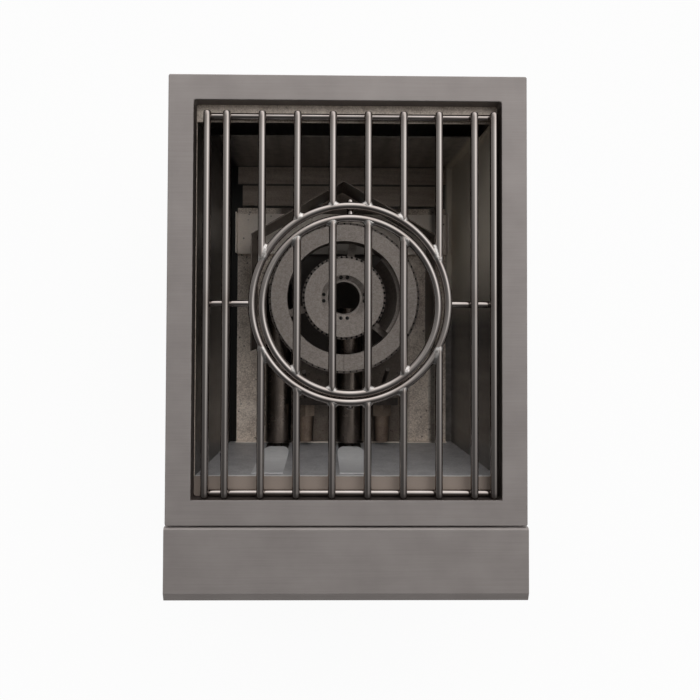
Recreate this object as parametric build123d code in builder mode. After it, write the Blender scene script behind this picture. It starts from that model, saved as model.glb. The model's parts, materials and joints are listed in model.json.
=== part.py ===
"""Drop-in gas power side burner: framed well, loose wok grate, double ring burner and its controls.

Millimetres. +Z is up, +Y is the back, +X is the right hand of someone standing at the controls.
The origin is the middle of the base, so the burner stands on Z = 0.
"""

import math
import os

from build123d import *

# Frame round the well
frame_width = 365.0
frame_depth = 456.0
overall_height = 262.0
trim_width = 26.0
frame_corner = 2.0
well_corner = 2.5
sheet = 1.5
bend = 1.0
flange_edge = 10.0
flange_return = 12.0
counter_overlap = 21.0

# Shelf in front of the frame
shelf_overhang = 1.0
shelf_flat = 65.2
seam_gap = 1.8
lip_run = 8.0
lip_drop = 3.0
shelf_edge = 22.0
shelf_bend = 2.5

# Control fascia under the shelf
fascia_setback = 36.0
fascia_overhang = 17.5
fascia_floor_gap = 4.0
fascia_return = 14.0
side_flange = 12.0

# Firebox liner and its grate ledges
ledge_drop = 16.0
ledge_front = 20.0
ledge_rear = 18.0
ledge_side = 0.5
liner_sheet = 1.2
liner_lean = 9.0
liner_floor_gap = 48.0
slot_width = 29.0
slot_top_drop = 47.0
cover_width = 33.0
cover_sheet = 1.0
cover_corner = 9.0
cover_top_drop = 11.0
cover_floor_gap = 92.0
rear_vent_height = 48.0
rear_vent_post = 6.0

# Tray, cross bracket and louvre slats
tray_height = 55.0
tray_side_gap = 8.0
tray_edge = 7.0
rail_width = 14.0
bracket_depth = 53.0
bracket_rise = 7.0
bracket_end_rise = 16.0
bracket_foot = 9.0
rear_slat_depth = 23.5
front_slat_depth = 27.5
slat_lap = 4.0

# Burner heads
burner_offset = 5.5
burner_rise = 102.0
lid_height = 8.0
outer_lid_radius = 89.0
outer_lid_width = 22.0
inner_cap_radius = 49.4
inner_cap_bore = 18.8
dish_radius = 27.0
dish_depth = 4.0
rim_chamfer = 3.0
lid_overhang = 2.0
trough_wall = 4.0
outer_trough_height = 37.0
inner_trough_height = 31.0
spigot_height = 3.0
spigot_clearance = 0.3
lid_seam = 0.6
port_diameter = 2.4
port_depth = 15.0
outer_port_count = 72
inner_port_count = 50
pair_port_radius = 24.0
pair_port_gap = 7.6
arm_width = 9.0
arm_height = 10.0
arm_under_lap = 10.0
arm_angles = (80.0, 195.0, 320.0)
duct_reach = 15.0
duct_start = -38.0
duct_sweep = 84.0

# Mixing tubes and air shutters
tube_diameter = 33.7
tube_wall = 1.5
tube_mouth_gap = 6.0
outer_tube_shift = 4.4
inner_tube_x = 10.0
tube_end_run = 20.0
outer_riser_width = 17.0
outer_riser_length = 42.0
inner_riser_diameter = 18.0
shutter_sheet = 1.5
shutter_gap = 0.3
air_hole_diameter = 6.4
air_hole_circle = 23.2
air_hole_count = 4
shutter_tab_width = 7.0
shutter_tab_reach = 4.0
shutter_tab_angle = 40.0

# Wind shield round the back of the burner
shield_sheet = 1.2
shield_side_gap = 24.0
shield_corner_run = 79.0
shield_apex_run = 145.0
shield_front_run = 64.0
shield_height = 74.0

# Igniters
igniter_left_inset = 17.5
igniter_right_inset = 19.0
igniter_bracket_y_gap = 50.0
igniter_bracket_gap = 1.05
igniter_bracket_right = 71.0
igniter_bracket_height = 37.0
igniter_bracket_flange = 8.0
igniter_sheet = 1.2
bushing_flats = 23.0
bushing_length = 15.7
bushing_spigot = 14.0
boot_length = 33.0
boot_root_diameter = 22.4
boot_tip_diameter = 19.2
electrode_diameter = 5.0
electrode_run = 14.0
electrode_tip_gap = 6.0
electrode_tip_drop = 6.0

# Gas valves, orifices and manifold
manifold_side = 20.0
manifold_wall = 2.0
manifold_drop = 31.85
manifold_left_run = 28.0
manifold_end_gap = 10.0
valve_width = 24.0
valve_half_height = 14.0
valve_gap = 2.5
valve_nose_length = 6.0
valve_nose_diameter = 18.0
valve_outlet_diameter = 16.0
valve_outlet_run = 8.0
valve_boss_diameter = 14.0
orifice_diameter = 12.4
orifice_flats = 16.0
orifice_hex_run = 8.0
orifice_reach = 5.0
jet_diameter = 1.5
jet_depth = 6.0
outlet_hole_gap = 2.0
clip_width = 20.0
inlet_body_diameter = 16.0
inlet_flats = 22.0
inlet_hex_run = 6.0
inlet_nipple_diameter = 15.88
inlet_nipple_run = 12.5
inlet_bore_diameter = 9.0

# Knobs, stems and push collars
stem_diameter = 8.0
stem_depth = 20.0
running_gap = 0.05
push_travel = 3.0
stop_gap = 1.0
collar_diameter = 18.0
collar_length = 4.0
collar_fascia_gap = 4.0
knob_diameter = 46.0
knob_length = 29.0
knob_skirt = 9.0
knob_grip_width = 13.0
knob_stem_depth = 16.0
pointer_width = 1.6
pointer_depth = 1.0
bezel_diameter = 58.0
bezel_bore = 50.0
bezel_depth = 7.0
stem_hole_diameter = 14.0

# Igniter button
button_x = 112.0
button_diameter = 22.0
button_gap = 0.1
button_length = 10.0
button_proud = 6.0
button_travel = 4.0
button_bezel_diameter = 34.0
button_bezel_depth = 3.0
button_barrel_wall = 2.0
barrel_hole_gap = 0.2
module_diameter = 30.0
module_length = 40.0

# Grate and its loose insert
bar_diameter = 8.0
cross_rod_diameter = 7.0
seat_clearance = 0.3
grate_end_clearance = 5.2
grate_side_clearance = 9.8
edge_pitch = 20.0
cut_bar_count = 6
cross_rod_inset = 3.5
ring_radius = 100.0
insert_radius = 89.5
insert_bar_count = 4
peg_reach = 3.0
peg_tail = 8.0
grate_shift_x = 3.0
grate_shift_y = -4.6
insert_shift_y = -2.0
end_round = 3.0
weld_gap = 0.05

# Vents and fasteners
vent_length = 26.0
vent_height = 5.0
vent_pitch = 38.0
vent_row_pitch = 14.0
vent_count = 8
vent_rows = 2
vent_base_gap = 26.0
floor_vent_columns = 6
floor_vent_rows = 5
floor_vent_pitch = 62.0
rivet_head_diameter = 7.0
rivet_head_height = 1.8
rivet_shank_diameter = 4.0
rivet_hole_gap = 0.1
rivet_count = 4
rivet_pitch = 62.0
screw_head_diameter = 8.0
screw_head_height = 2.4
screw_spread = 150.0

# Places worked out from the sizes above
overall_depth = frame_depth + seam_gap + shelf_flat + lip_run
y_rear = overall_depth / 2
y_lip = -overall_depth / 2
y_frame_front = y_rear - frame_depth
y_frame_mid = (y_rear + y_frame_front) / 2
y_shelf_rear = y_frame_front - seam_gap
y_nose = y_shelf_rear - shelf_flat
y_fascia = y_lip + fascia_setback
y_fascia_back = y_fascia + sheet
shelf_width = frame_width + 2 * shelf_overhang
well_width = frame_width - 2 * trim_width
well_depth = frame_depth - 2 * trim_width
x_casing = frame_width / 2 - counter_overlap
x_casing_inside = x_casing - sheet
fascia_width = 2 * (x_casing + fascia_overhang)
y_casing_rear = y_rear - counter_overlap
y_rear_panel = y_casing_rear - sheet
y_heat_shield = y_frame_front + counter_overlap
y_heat_shield_back = y_heat_shield + sheet
z_under_top = overall_height - sheet
z_shelf_bottom = overall_height - shelf_edge
z_ledge = overall_height - ledge_drop
x_liner_top = well_width / 2 - ledge_side
x_liner = x_liner_top - liner_lean
x_liner_top_out = x_liner_top + liner_sheet
x_liner_out = x_liner + liner_sheet
y_liner_rear = y_frame_mid + well_depth / 2 - ledge_rear
y_liner_front = y_frame_mid - well_depth / 2 + ledge_front
y_liner_front_out = y_liner_front - liner_sheet
y_liner_rear_out = y_liner_rear + liner_sheet
z_cover_top = z_ledge - cover_top_drop

tube_radius = tube_diameter / 2
z_tube = tray_height + tube_radius
y_mouth = y_liner_front + tube_mouth_gap
y_burner = y_frame_mid + burner_offset
z_burner = tray_height + burner_rise
z_lid_seat = z_burner - lid_height
outer_lid_bore = outer_lid_radius - outer_lid_width
outer_trough_radius = outer_lid_radius - lid_overhang
outer_trough_bore = outer_lid_bore + lid_overhang
inner_trough_radius = inner_cap_radius - lid_overhang - rim_chamfer
inner_trough_bore = inner_cap_bore + lid_overhang
z_outer_floor = z_lid_seat - outer_trough_height
z_inner_floor = z_lid_seat - inner_trough_height
outer_trough_middle = (outer_trough_radius + outer_trough_bore) / 2
inner_trough_middle = (inner_trough_radius + inner_trough_bore) / 2
outer_riser_x = -outer_trough_middle
outer_tube_x = outer_riser_x - outer_tube_shift
x_igniter_left = outer_tube_x + tube_radius + igniter_bracket_gap
igniter_x = (x_igniter_left + igniter_left_inset, igniter_bracket_right - igniter_right_inset)
inner_riser_y = y_burner - math.sqrt(inner_trough_middle**2 - inner_tube_x**2)

y_slat_joint = y_liner_rear - rear_slat_depth
y_slat_front = y_slat_joint - front_slat_depth
y_bracket_rear = y_slat_front - slat_lap - bracket_foot
y_bracket_front = y_bracket_rear - bracket_depth
z_bracket = tray_height + bracket_rise
x_tray = x_liner - tray_side_gap

y_valve_back = y_heat_shield - valve_gap
y_collar_front = y_fascia_back + collar_fascia_gap
y_collar_back = y_collar_front + collar_length
y_valve_nose = y_collar_back + push_travel + stop_gap
y_valve_front = y_valve_nose + valve_nose_length
y_outlet_end = y_valve_back + valve_outlet_run
y_orifice_tip = y_mouth + orifice_reach
y_knob_back = y_fascia - push_travel - stop_gap
y_knob_front = y_knob_back - knob_length
y_manifold = (y_valve_back + y_valve_front) / 2
z_manifold = z_tube - manifold_drop
z_manifold_top = z_manifold + manifold_side / 2
x_manifold_left = outer_tube_x - manifold_left_run
x_manifold_right = x_casing_inside - manifold_end_gap
y_button_front = y_fascia - button_bezel_depth - button_proud
y_button_back = y_button_front + button_length
y_module = y_button_back + button_travel + stop_gap
z_button = z_tube

bar_radius = bar_diameter / 2
rod_radius = cross_rod_diameter / 2
z_rod = z_ledge + seat_clearance + rod_radius
z_bar = z_rod + rod_radius + bar_radius
z_insert = z_bar + seat_clearance
x_outer_bar = well_width / 2 - grate_side_clearance
x_second_bar = x_outer_bar - edge_pitch
bar_pitch = x_second_bar / ((cut_bar_count + 1) / 2)
grate_length = well_depth - 2 * grate_end_clearance
x_grate = grate_shift_x
y_grate = y_frame_mid + grate_shift_y
y_insert = y_grate + insert_shift_y
cut_bar_places = [(i - (cut_bar_count - 1) / 2) * bar_pitch for i in range(cut_bar_count)]
insert_bar_places = [(i - (insert_bar_count - 1) / 2) * bar_pitch for i in range(insert_bar_count)]

burner_axis = Axis((0, y_burner, 0), (0, 0, 1))
burner_section = Plane(origin=(0, y_burner, 0), x_dir=(1, 0, 0), z_dir=(0, -1, 0))


def slab(low, high, mode=Mode.ADD):
    """Add or cut a straight-sided block between two opposite corners."""
    size = Vector(*high) - Vector(*low)
    with Locations((Vector(*low) + Vector(*high)) * 0.5):
        Box(abs(size.X), abs(size.Y), abs(size.Z), mode=mode)


def rod(start, end, radius, mode=Mode.ADD):
    """Add or cut a straight round rod between two points."""
    run = Vector(*end) - Vector(*start)
    with Locations(Plane(origin=start, z_dir=run)):
        Cylinder(radius, run.length, align=(Align.CENTER, Align.CENTER, Align.MIN), mode=mode)


def hex_rod(start, end, flats):
    """Make a six-sided bar between two points along one axis, by its width across flats."""
    run = Vector(*end) - Vector(*start)
    with BuildPart() as bar:
        with BuildSketch(Plane(origin=start, z_dir=run)):
            RegularPolygon(flats / 2, 6, major_radius=False)
        extrude(amount=run.length)
    return bar.part


def write_piece(piece, label):
    """Label a finished piece and write it to its own file."""
    piece.label = label
    export_step(piece, f"parts/{label}.step")


os.makedirs("parts", exist_ok=True)

# Top frame: one sheet with its outer edge folded down and back under, and its well edge folded down
with BuildPart() as top_frame:
    with BuildSketch(Plane.XY.offset(z_under_top)):
        with Locations((0, y_frame_mid)):
            RectangleRounded(frame_width, frame_depth, frame_corner)
            RectangleRounded(well_width, well_depth, well_corner, mode=Mode.SUBTRACT)
    extrude(amount=sheet)
    with BuildSketch(Plane.XY.offset(overall_height - flange_edge)):
        with Locations((0, y_frame_mid)):
            RectangleRounded(frame_width, frame_depth, frame_corner)
            Rectangle(frame_width - 2 * sheet, frame_depth - 2 * sheet, mode=Mode.SUBTRACT)
    extrude(amount=flange_edge)
    with BuildSketch(Plane.XY.offset(overall_height - flange_edge)):
        with Locations((0, y_frame_mid)):
            RectangleRounded(frame_width, frame_depth, frame_corner)
            Rectangle(frame_width - 2 * flange_return, frame_depth - 2 * flange_return, mode=Mode.SUBTRACT)
    extrude(amount=sheet)
    with BuildSketch(Plane.XY.offset(z_ledge)):
        with Locations((0, y_frame_mid)):
            RectangleRounded(well_width + 2 * sheet, well_depth + 2 * sheet, well_corner + sheet)
            RectangleRounded(well_width, well_depth, well_corner, mode=Mode.SUBTRACT)
    extrude(amount=ledge_drop)
    fillet(top_frame.faces().sort_by(Axis.Z)[-1].edges(), radius=bend)
write_piece(top_frame.part, "top_frame")

# Front shelf: a shallow folded cover, open underneath, with a sloped lip along its front
with BuildPart() as front_shelf:
    with BuildSketch(Plane.YZ.offset(-shelf_width / 2)):
        with BuildLine():
            Polyline(
                (y_shelf_rear, z_shelf_bottom),
                (y_shelf_rear, overall_height),
                (y_nose, overall_height),
                (y_lip, overall_height - lip_drop),
                (y_lip, z_shelf_bottom),
                close=True,
            )
        make_face()
    extrude(amount=shelf_width)
    top_edges = front_shelf.faces().sort_by(Axis.Z)[-1].edges()
    fillet(top_edges.filter_by(Axis.X).sort_by(Axis.Y)[-1], radius=shelf_bend)
    offset(amount=-sheet, openings=front_shelf.faces().sort_by(Axis.Z)[0], kind=Kind.INTERSECTION)
write_piece(front_shelf.part, "front_shelf")

# Control fascia: a panel with its sides folded back, pierced for the stems and the button
with BuildPart() as control_fascia:
    slab(
        (-fascia_width / 2, y_fascia, fascia_floor_gap),
        (fascia_width / 2, y_fascia + fascia_return, z_under_top),
    )
    offset(
        amount=-sheet,
        openings=[
            control_fascia.faces().sort_by(Axis.Y)[-1],
            control_fascia.faces().sort_by(Axis.Z)[0],
            control_fascia.faces().sort_by(Axis.Z)[-1],
        ],
        kind=Kind.INTERSECTION,
    )
    for x in (outer_tube_x, inner_tube_x):
        rod((x, y_fascia, z_tube), (x, y_fascia_back, z_tube), stem_hole_diameter / 2, Mode.SUBTRACT)
    barrel_hole = button_diameter / 2 + button_gap + button_barrel_wall + barrel_hole_gap
    rod((button_x, y_fascia, z_button), (button_x, y_fascia_back, z_button), barrel_hole, Mode.SUBTRACT)
    for side in (-1, 1):
        x = side * (x_casing - side_flange / 2)
        for rise in (-1, 1):
            z = overall_height / 2 + rise * screw_spread / 2
            hole = rivet_shank_diameter / 2 + rivet_hole_gap
            rod((x, y_fascia, z), (x, y_fascia_back, z), hole, Mode.SUBTRACT)
write_piece(control_fascia.part, "control_fascia")


def casing_side(side):
    """Make one casing side: an upright channel with vents, stepped down under the shelf."""
    wall_out = side * x_casing
    wall_in = side * x_casing_inside
    flange_in = side * (x_casing - side_flange)
    hole = rivet_shank_diameter / 2 + rivet_hole_gap
    with BuildPart() as panel:
        slab((wall_in, y_fascia_back, sheet), (wall_out, y_heat_shield, z_shelf_bottom))
        slab((wall_in, y_heat_shield, sheet), (wall_out, y_rear_panel, z_under_top))
        slab((flange_in, y_fascia_back, sheet), (wall_out, y_fascia_back + sheet, z_shelf_bottom))
        slab((flange_in, y_rear_panel - sheet, sheet), (wall_out, y_rear_panel, z_ledge - liner_sheet))
        with BuildSketch(Plane.YZ.offset(wall_in)):
            with Locations((y_frame_mid, vent_base_gap + vent_row_pitch / 2)):
                with GridLocations(vent_pitch, vent_row_pitch, vent_count, vent_rows):
                    SlotOverall(vent_length, vent_height)
        extrude(amount=side * sheet, mode=Mode.SUBTRACT)
        x = side * (x_casing - side_flange / 2)
        for rise in (-1, 1):
            z = overall_height / 2 + rise * screw_spread / 2
            rod((x, y_fascia_back, z), (x, y_fascia_back + sheet, z), hole, Mode.SUBTRACT)
        for i in range(rivet_count):
            z = overall_height / 2 + (i - (rivet_count - 1) / 2) * rivet_pitch
            rod((x, y_rear_panel - sheet, z), (x, y_rear_panel, z), hole, Mode.SUBTRACT)
        if side > 0:
            inlet_hole = inlet_body_diameter / 2 + outlet_hole_gap
            rod(
                (wall_in, y_manifold, z_manifold),
                (wall_out, y_manifold, z_manifold),
                inlet_hole,
                Mode.SUBTRACT,
            )
    return panel.part


write_piece(casing_side(-1), "casing_left")
write_piece(casing_side(1), "casing_right")

# Casing rear panel, riveted to the side flanges
with BuildPart() as casing_rear:
    slab((-x_casing, y_rear_panel, sheet), (x_casing, y_casing_rear, z_under_top))
    with BuildSketch(Plane.XZ.offset(-y_rear_panel)):
        with Locations((0, vent_base_gap + vent_row_pitch / 2)):
            with GridLocations(vent_pitch, vent_row_pitch, vent_count - 2, vent_rows):
                SlotOverall(vent_length, vent_height)
    extrude(amount=-sheet, mode=Mode.SUBTRACT)
    for side in (-1, 1):
        x = side * (x_casing - side_flange / 2)
        for i in range(rivet_count):
            z = overall_height / 2 + (i - (rivet_count - 1) / 2) * rivet_pitch
            hole = rivet_shank_diameter / 2 + rivet_hole_gap
            rod((x, y_rear_panel, z), (x, y_casing_rear, z), hole, Mode.SUBTRACT)
write_piece(casing_rear.part, "casing_rear")

# Base plate with rows of vent slots
with BuildPart() as base_plate:
    slab((-x_casing, y_fascia_back, 0), (x_casing, y_casing_rear, sheet))
    with BuildSketch():
        with Locations((0, y_frame_mid)):
            with GridLocations(vent_length * 2, floor_vent_pitch, floor_vent_columns, floor_vent_rows):
                SlotOverall(vent_length, vent_height)
    extrude(amount=sheet, mode=Mode.SUBTRACT)
write_piece(base_plate.part, "base_plate")


def liner_end(y_inside, y_outside, y_ledge):
    """Add a front or rear wall, as wide as the leaning sides leave it, and the ledge at its top."""
    with BuildSketch(Plane.XZ.offset(-y_inside)) as wall:
        with BuildLine():
            Polyline(
                (-x_liner_out, liner_floor_gap),
                (x_liner_out, liner_floor_gap),
                (x_liner_top_out, z_ledge),
                (-x_liner_top_out, z_ledge),
                close=True,
            )
        make_face()
    extrude(wall.sketch, amount=y_inside - y_outside)
    slab((-x_casing_inside, y_inside, z_ledge - liner_sheet), (x_casing_inside, y_ledge, z_ledge))


# Front liner wall with its ledge, slotted from below for the burner's mixing tubes
with BuildPart() as liner_front:
    liner_end(y_liner_front, y_liner_front_out, y_heat_shield_back)
    z_slot_top = z_ledge - slot_top_drop
    for x in (outer_tube_x, inner_tube_x):
        slab(
            (x - slot_width / 2, y_liner_front_out, liner_floor_gap),
            (x + slot_width / 2, y_liner_front, z_slot_top),
            Mode.SUBTRACT,
        )
write_piece(liner_front.part, "liner_front")

# Slot covers: narrow plates over the upper part of both slots
with BuildPart() as slot_covers:
    with BuildSketch(Plane.XZ.offset(-y_liner_front)):
        for x in (outer_tube_x, inner_tube_x):
            with Locations((x, (cover_floor_gap + z_cover_top) / 2)):
                Rectangle(cover_width, z_cover_top - cover_floor_gap)
    extrude(amount=-cover_sheet)
    fillet(
        slot_covers.edges().filter_by(Axis.Y).group_by(Axis.Z)[0],
        radius=min(cover_corner, cover_width / 2 - cover_sheet),
    )
write_piece(slot_covers.part, "slot_covers")

# Rear liner wall with its ledge, and a long vent under the ledge
with BuildPart() as liner_rear:
    liner_end(y_liner_rear, y_liner_rear_out, y_rear_panel)
    x_vent = x_liner_top - rear_vent_post
    z_vent_top = z_ledge - liner_sheet
    slab(
        (-x_vent, y_liner_rear, z_vent_top - rear_vent_height),
        (x_vent, y_liner_rear_out, z_vent_top),
        Mode.SUBTRACT,
    )
write_piece(liner_rear.part, "liner_rear")


def liner_side(side):
    """Make one leaning side wall with its top flange, and the rail that carries the tray."""
    z_rail = tray_height - liner_sheet
    with BuildPart() as wall:
        with BuildSketch(Plane.XZ.offset(-y_liner_front)):
            with BuildLine():
                Polyline(
                    (side * x_liner, liner_floor_gap),
                    (side * x_liner_out, liner_floor_gap),
                    (side * x_liner_top_out, z_ledge - liner_sheet),
                    (side * x_casing_inside, z_ledge - liner_sheet),
                    (side * x_casing_inside, z_ledge),
                    (side * x_liner_top, z_ledge),
                    close=True,
                )
            make_face()
        extrude(amount=y_liner_front - y_liner_rear)
        slab(
            (side * (x_liner - rail_width), y_liner_front, z_rail - liner_sheet),
            (side * x_liner_out, y_liner_rear, z_rail),
        )
    return wall.part


write_piece(liner_side(-1), "liner_left")
write_piece(liner_side(1), "liner_right")

# Heat shield between the firebox and the controls, pierced for both valve outlets
with BuildPart() as heat_shield:
    slab((-x_casing_inside, y_heat_shield, sheet), (x_casing_inside, y_heat_shield_back, z_ledge))
    outlet_hole = valve_outlet_diameter / 2 + outlet_hole_gap
    for x in (outer_tube_x, inner_tube_x):
        rod((x, y_heat_shield, z_tube), (x, y_heat_shield_back, z_tube), outlet_hole, Mode.SUBTRACT)
write_piece(heat_shield.part, "heat_shield")

# Burner tray: flat floor with its front edge turned up against the front wall
with BuildPart() as burner_tray:
    tray_under = tray_height - liner_sheet
    slab((-x_tray, y_liner_front, tray_under), (x_tray, y_bracket_front + bracket_depth / 4, tray_height))
    slab(
        (-x_tray, y_liner_front, tray_under),
        (x_tray, y_liner_front + liner_sheet, tray_height + tray_edge),
    )
write_piece(burner_tray.part, "burner_tray")

# Cross bracket: raised hat over the tray's rear edge, its ends turned up beside the side walls
with BuildPart() as cross_bracket:
    bracket_under = z_bracket - liner_sheet
    foot_under = tray_height - liner_sheet
    slab((-x_tray, y_bracket_front, bracket_under), (x_tray, y_bracket_rear, z_bracket))
    slab((-x_tray, y_bracket_front, tray_height), (x_tray, y_bracket_front + liner_sheet, z_bracket))
    slab((-x_tray, y_bracket_rear - liner_sheet, foot_under), (x_tray, y_bracket_rear, z_bracket))
    slab(
        (-x_tray, y_bracket_rear - liner_sheet, foot_under),
        (x_tray, y_bracket_rear + bracket_foot, tray_height),
    )
    for side in (-1, 1):
        slab(
            (side * (x_tray - liner_sheet), y_bracket_front, bracket_under),
            (side * x_tray, y_bracket_rear, z_bracket + bracket_end_rise),
        )
write_piece(cross_bracket.part, "cross_bracket")

# Louvre slats: one strip on top of the tray rails and one under them, to let air in between
with BuildPart() as rear_louvres:
    z_low_slat = tray_height - 2 * liner_sheet
    slab((-x_tray, y_slat_joint, tray_height - liner_sheet), (x_tray, y_liner_rear, tray_height))
    slab((-x_tray, y_slat_front, z_low_slat - liner_sheet), (x_tray, y_slat_joint + slat_lap, z_low_slat))
write_piece(rear_louvres.part, "rear_louvres")

# Wind shield: thin sheet bent round the back and sides of the burner, stepped over the bracket
with BuildPart() as wind_shield:
    x_shield = outer_lid_radius + shield_side_gap
    y_shield_front = y_burner - shield_front_run
    with BuildSketch(Plane.XY.offset(tray_height)):
        with BuildLine():
            Polyline(
                (-x_shield, y_shield_front),
                (-x_shield, y_burner + shield_corner_run),
                (0, y_burner + shield_apex_run),
                (x_shield, y_burner + shield_corner_run),
                (x_shield, y_shield_front),
                close=True,
            )
        make_face()
        offset(amount=-shield_sheet, kind=Kind.INTERSECTION, mode=Mode.SUBTRACT)
        with Locations((0, y_shield_front)):
            Rectangle(2 * (x_shield - shield_sheet), 4 * shield_sheet, mode=Mode.SUBTRACT)
    extrude(amount=shield_height)
    slab(
        (-x_liner, y_bracket_front - seam_gap, tray_height),
        (x_liner, y_liner_rear, z_bracket),
        Mode.SUBTRACT,
    )
write_piece(wind_shield.part, "wind_shield")

# Outer burner trough, cast with its bridge arms and a sloped duct on the right
with BuildPart() as outer_burner_body:
    with BuildSketch(burner_section):
        with BuildLine():
            Polyline(
                (outer_trough_bore, z_outer_floor),
                (outer_trough_radius, z_outer_floor),
                (outer_trough_radius, z_lid_seat),
                (outer_trough_radius - trough_wall, z_lid_seat),
                (outer_trough_radius - trough_wall, z_outer_floor + trough_wall),
                (outer_trough_bore + trough_wall, z_outer_floor + trough_wall),
                (outer_trough_bore + trough_wall, z_lid_seat),
                (outer_trough_bore, z_lid_seat),
                close=True,
            )
        make_face()
    revolve(axis=burner_axis)
    turn = math.radians(duct_start)
    duct_out = (math.cos(turn), math.sin(turn), 0)
    duct_side = (math.sin(turn), -math.cos(turn), 0)
    with BuildSketch(Plane(origin=(0, y_burner, 0), x_dir=duct_out, z_dir=duct_side)):
        with BuildLine():
            Polyline(
                (outer_trough_bore, z_outer_floor),
                (outer_trough_bore, z_lid_seat - lid_height),
                (outer_trough_bore - duct_reach / 3, z_lid_seat - lid_height),
                (outer_trough_bore - duct_reach, z_outer_floor),
                close=True,
            )
        make_face()
    revolve(axis=burner_axis, revolution_arc=duct_sweep)
    with Locations((0, y_burner, z_inner_floor - arm_height / 2)):
        arm_outer = outer_trough_bore + trough_wall / 4
        arm_inner = inner_trough_radius - arm_under_lap
        for angle in arm_angles:
            with PolarLocations((arm_outer + arm_inner) / 2, 1, start_angle=angle):
                Box(arm_outer - arm_inner, arm_width, arm_height)
    with BuildSketch(Plane.XY.offset(z_outer_floor)):
        with Locations((outer_riser_x, y_burner)):
            channel = outer_trough_radius - outer_trough_bore - 2 * trough_wall
            SlotOverall(outer_riser_length - 4 * tube_wall, channel, rotation=90)
    extrude(amount=trough_wall, mode=Mode.SUBTRACT)
write_piece(outer_burner_body.part, "outer_burner_body")


def rim_ports(radius, count):
    """Drill a row of gas ports through a bevelled rim, slanting down into the trough."""
    with Locations((0, y_burner, z_burner - rim_chamfer / 2)):
        with PolarLocations(radius - rim_chamfer / 2, count):
            Cylinder(port_diameter / 2, 2 * port_depth, rotation=(0, 45, 0), mode=Mode.SUBTRACT)


# Outer burner lid ring, with a row of ports round its bevelled rim and a seam at the front
with BuildPart() as outer_burner_lid:
    spigot_out = outer_trough_radius - trough_wall - spigot_clearance
    spigot_in = outer_trough_bore + trough_wall + spigot_clearance
    with BuildSketch(burner_section):
        with BuildLine():
            Polyline(
                (outer_lid_bore, z_lid_seat),
                (spigot_in, z_lid_seat),
                (spigot_in, z_lid_seat - spigot_height),
                (spigot_out, z_lid_seat - spigot_height),
                (spigot_out, z_lid_seat),
                (outer_lid_radius, z_lid_seat),
                (outer_lid_radius, z_burner - rim_chamfer),
                (outer_lid_radius - rim_chamfer, z_burner),
                (outer_lid_bore, z_burner),
                close=True,
            )
        make_face()
    revolve(axis=burner_axis)
    rim_ports(outer_lid_radius, outer_port_count)
    slab(
        (-lid_seam / 2, y_burner - outer_lid_radius, z_burner - lid_height / 3),
        (lid_seam / 2, y_burner - outer_lid_bore, z_burner),
        Mode.SUBTRACT,
    )
write_piece(outer_burner_lid.part, "outer_burner_lid")

# Inner burner trough with an open bore for air
with BuildPart() as inner_burner_body:
    with BuildSketch(burner_section):
        with BuildLine():
            Polyline(
                (inner_trough_bore, z_inner_floor),
                (inner_trough_radius, z_inner_floor),
                (inner_trough_radius, z_lid_seat),
                (inner_trough_radius - trough_wall / 2, z_lid_seat),
                (inner_trough_radius - trough_wall / 2, z_inner_floor + trough_wall),
                (inner_trough_bore + trough_wall / 2, z_inner_floor + trough_wall),
                (inner_trough_bore + trough_wall / 2, z_lid_seat),
                (inner_trough_bore, z_lid_seat),
                close=True,
            )
        make_face()
    revolve(axis=burner_axis)
    rod(
        (inner_tube_x, inner_riser_y, z_inner_floor),
        (inner_tube_x, inner_riser_y, z_inner_floor + trough_wall),
        inner_riser_diameter / 2 - tube_wall,
        Mode.SUBTRACT,
    )
write_piece(inner_burner_body.part, "inner_burner_body")

# Inner burner cap: dished disc with rim ports, four pairs of top ports and a centre hole
with BuildPart() as inner_burner_cap:
    spigot_out = inner_trough_radius - trough_wall / 2 - spigot_clearance
    spigot_in = inner_trough_bore + trough_wall / 2 + spigot_clearance
    with BuildSketch(burner_section):
        with BuildLine():
            Polyline(
                (inner_cap_bore, z_lid_seat),
                (spigot_in, z_lid_seat),
                (spigot_in, z_lid_seat - spigot_height),
                (spigot_out, z_lid_seat - spigot_height),
                (spigot_out, z_lid_seat),
                (inner_cap_radius - rim_chamfer, z_lid_seat),
                (inner_cap_radius, z_lid_seat + rim_chamfer),
                (inner_cap_radius, z_burner - rim_chamfer),
                (inner_cap_radius - rim_chamfer, z_burner),
                (dish_radius, z_burner),
                (inner_cap_bore + lid_overhang, z_burner - dish_depth),
                (inner_cap_bore, z_burner - dish_depth),
                close=True,
            )
        make_face()
    revolve(axis=burner_axis)
    rim_ports(inner_cap_radius, inner_port_count)
    with Locations((0, y_burner, z_lid_seat)):
        with PolarLocations(pair_port_radius, 4):
            with Locations((0, -pair_port_gap / 2), (0, pair_port_gap / 2)):
                Cylinder(port_diameter / 2, 2 * lid_height, mode=Mode.SUBTRACT)
write_piece(inner_burner_cap.part, "inner_burner_cap")


def air_holes(x, y_from, y_to):
    """Cut a ring of air holes and the orifice hole through a disc at a tube's mouth."""
    for i in range(air_hole_count):
        turn = math.radians(i * 360 / air_hole_count)
        hole_x = x + air_hole_circle / 2 * math.cos(turn)
        hole_z = z_tube + air_hole_circle / 2 * math.sin(turn)
        rod((hole_x, y_from, hole_z), (hole_x, y_to, hole_z), air_hole_diameter / 2, Mode.SUBTRACT)
    bore = orifice_diameter / 2 + 2 * running_gap
    rod((x, y_from, z_tube), (x, y_to, z_tube), bore, Mode.SUBTRACT)


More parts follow.
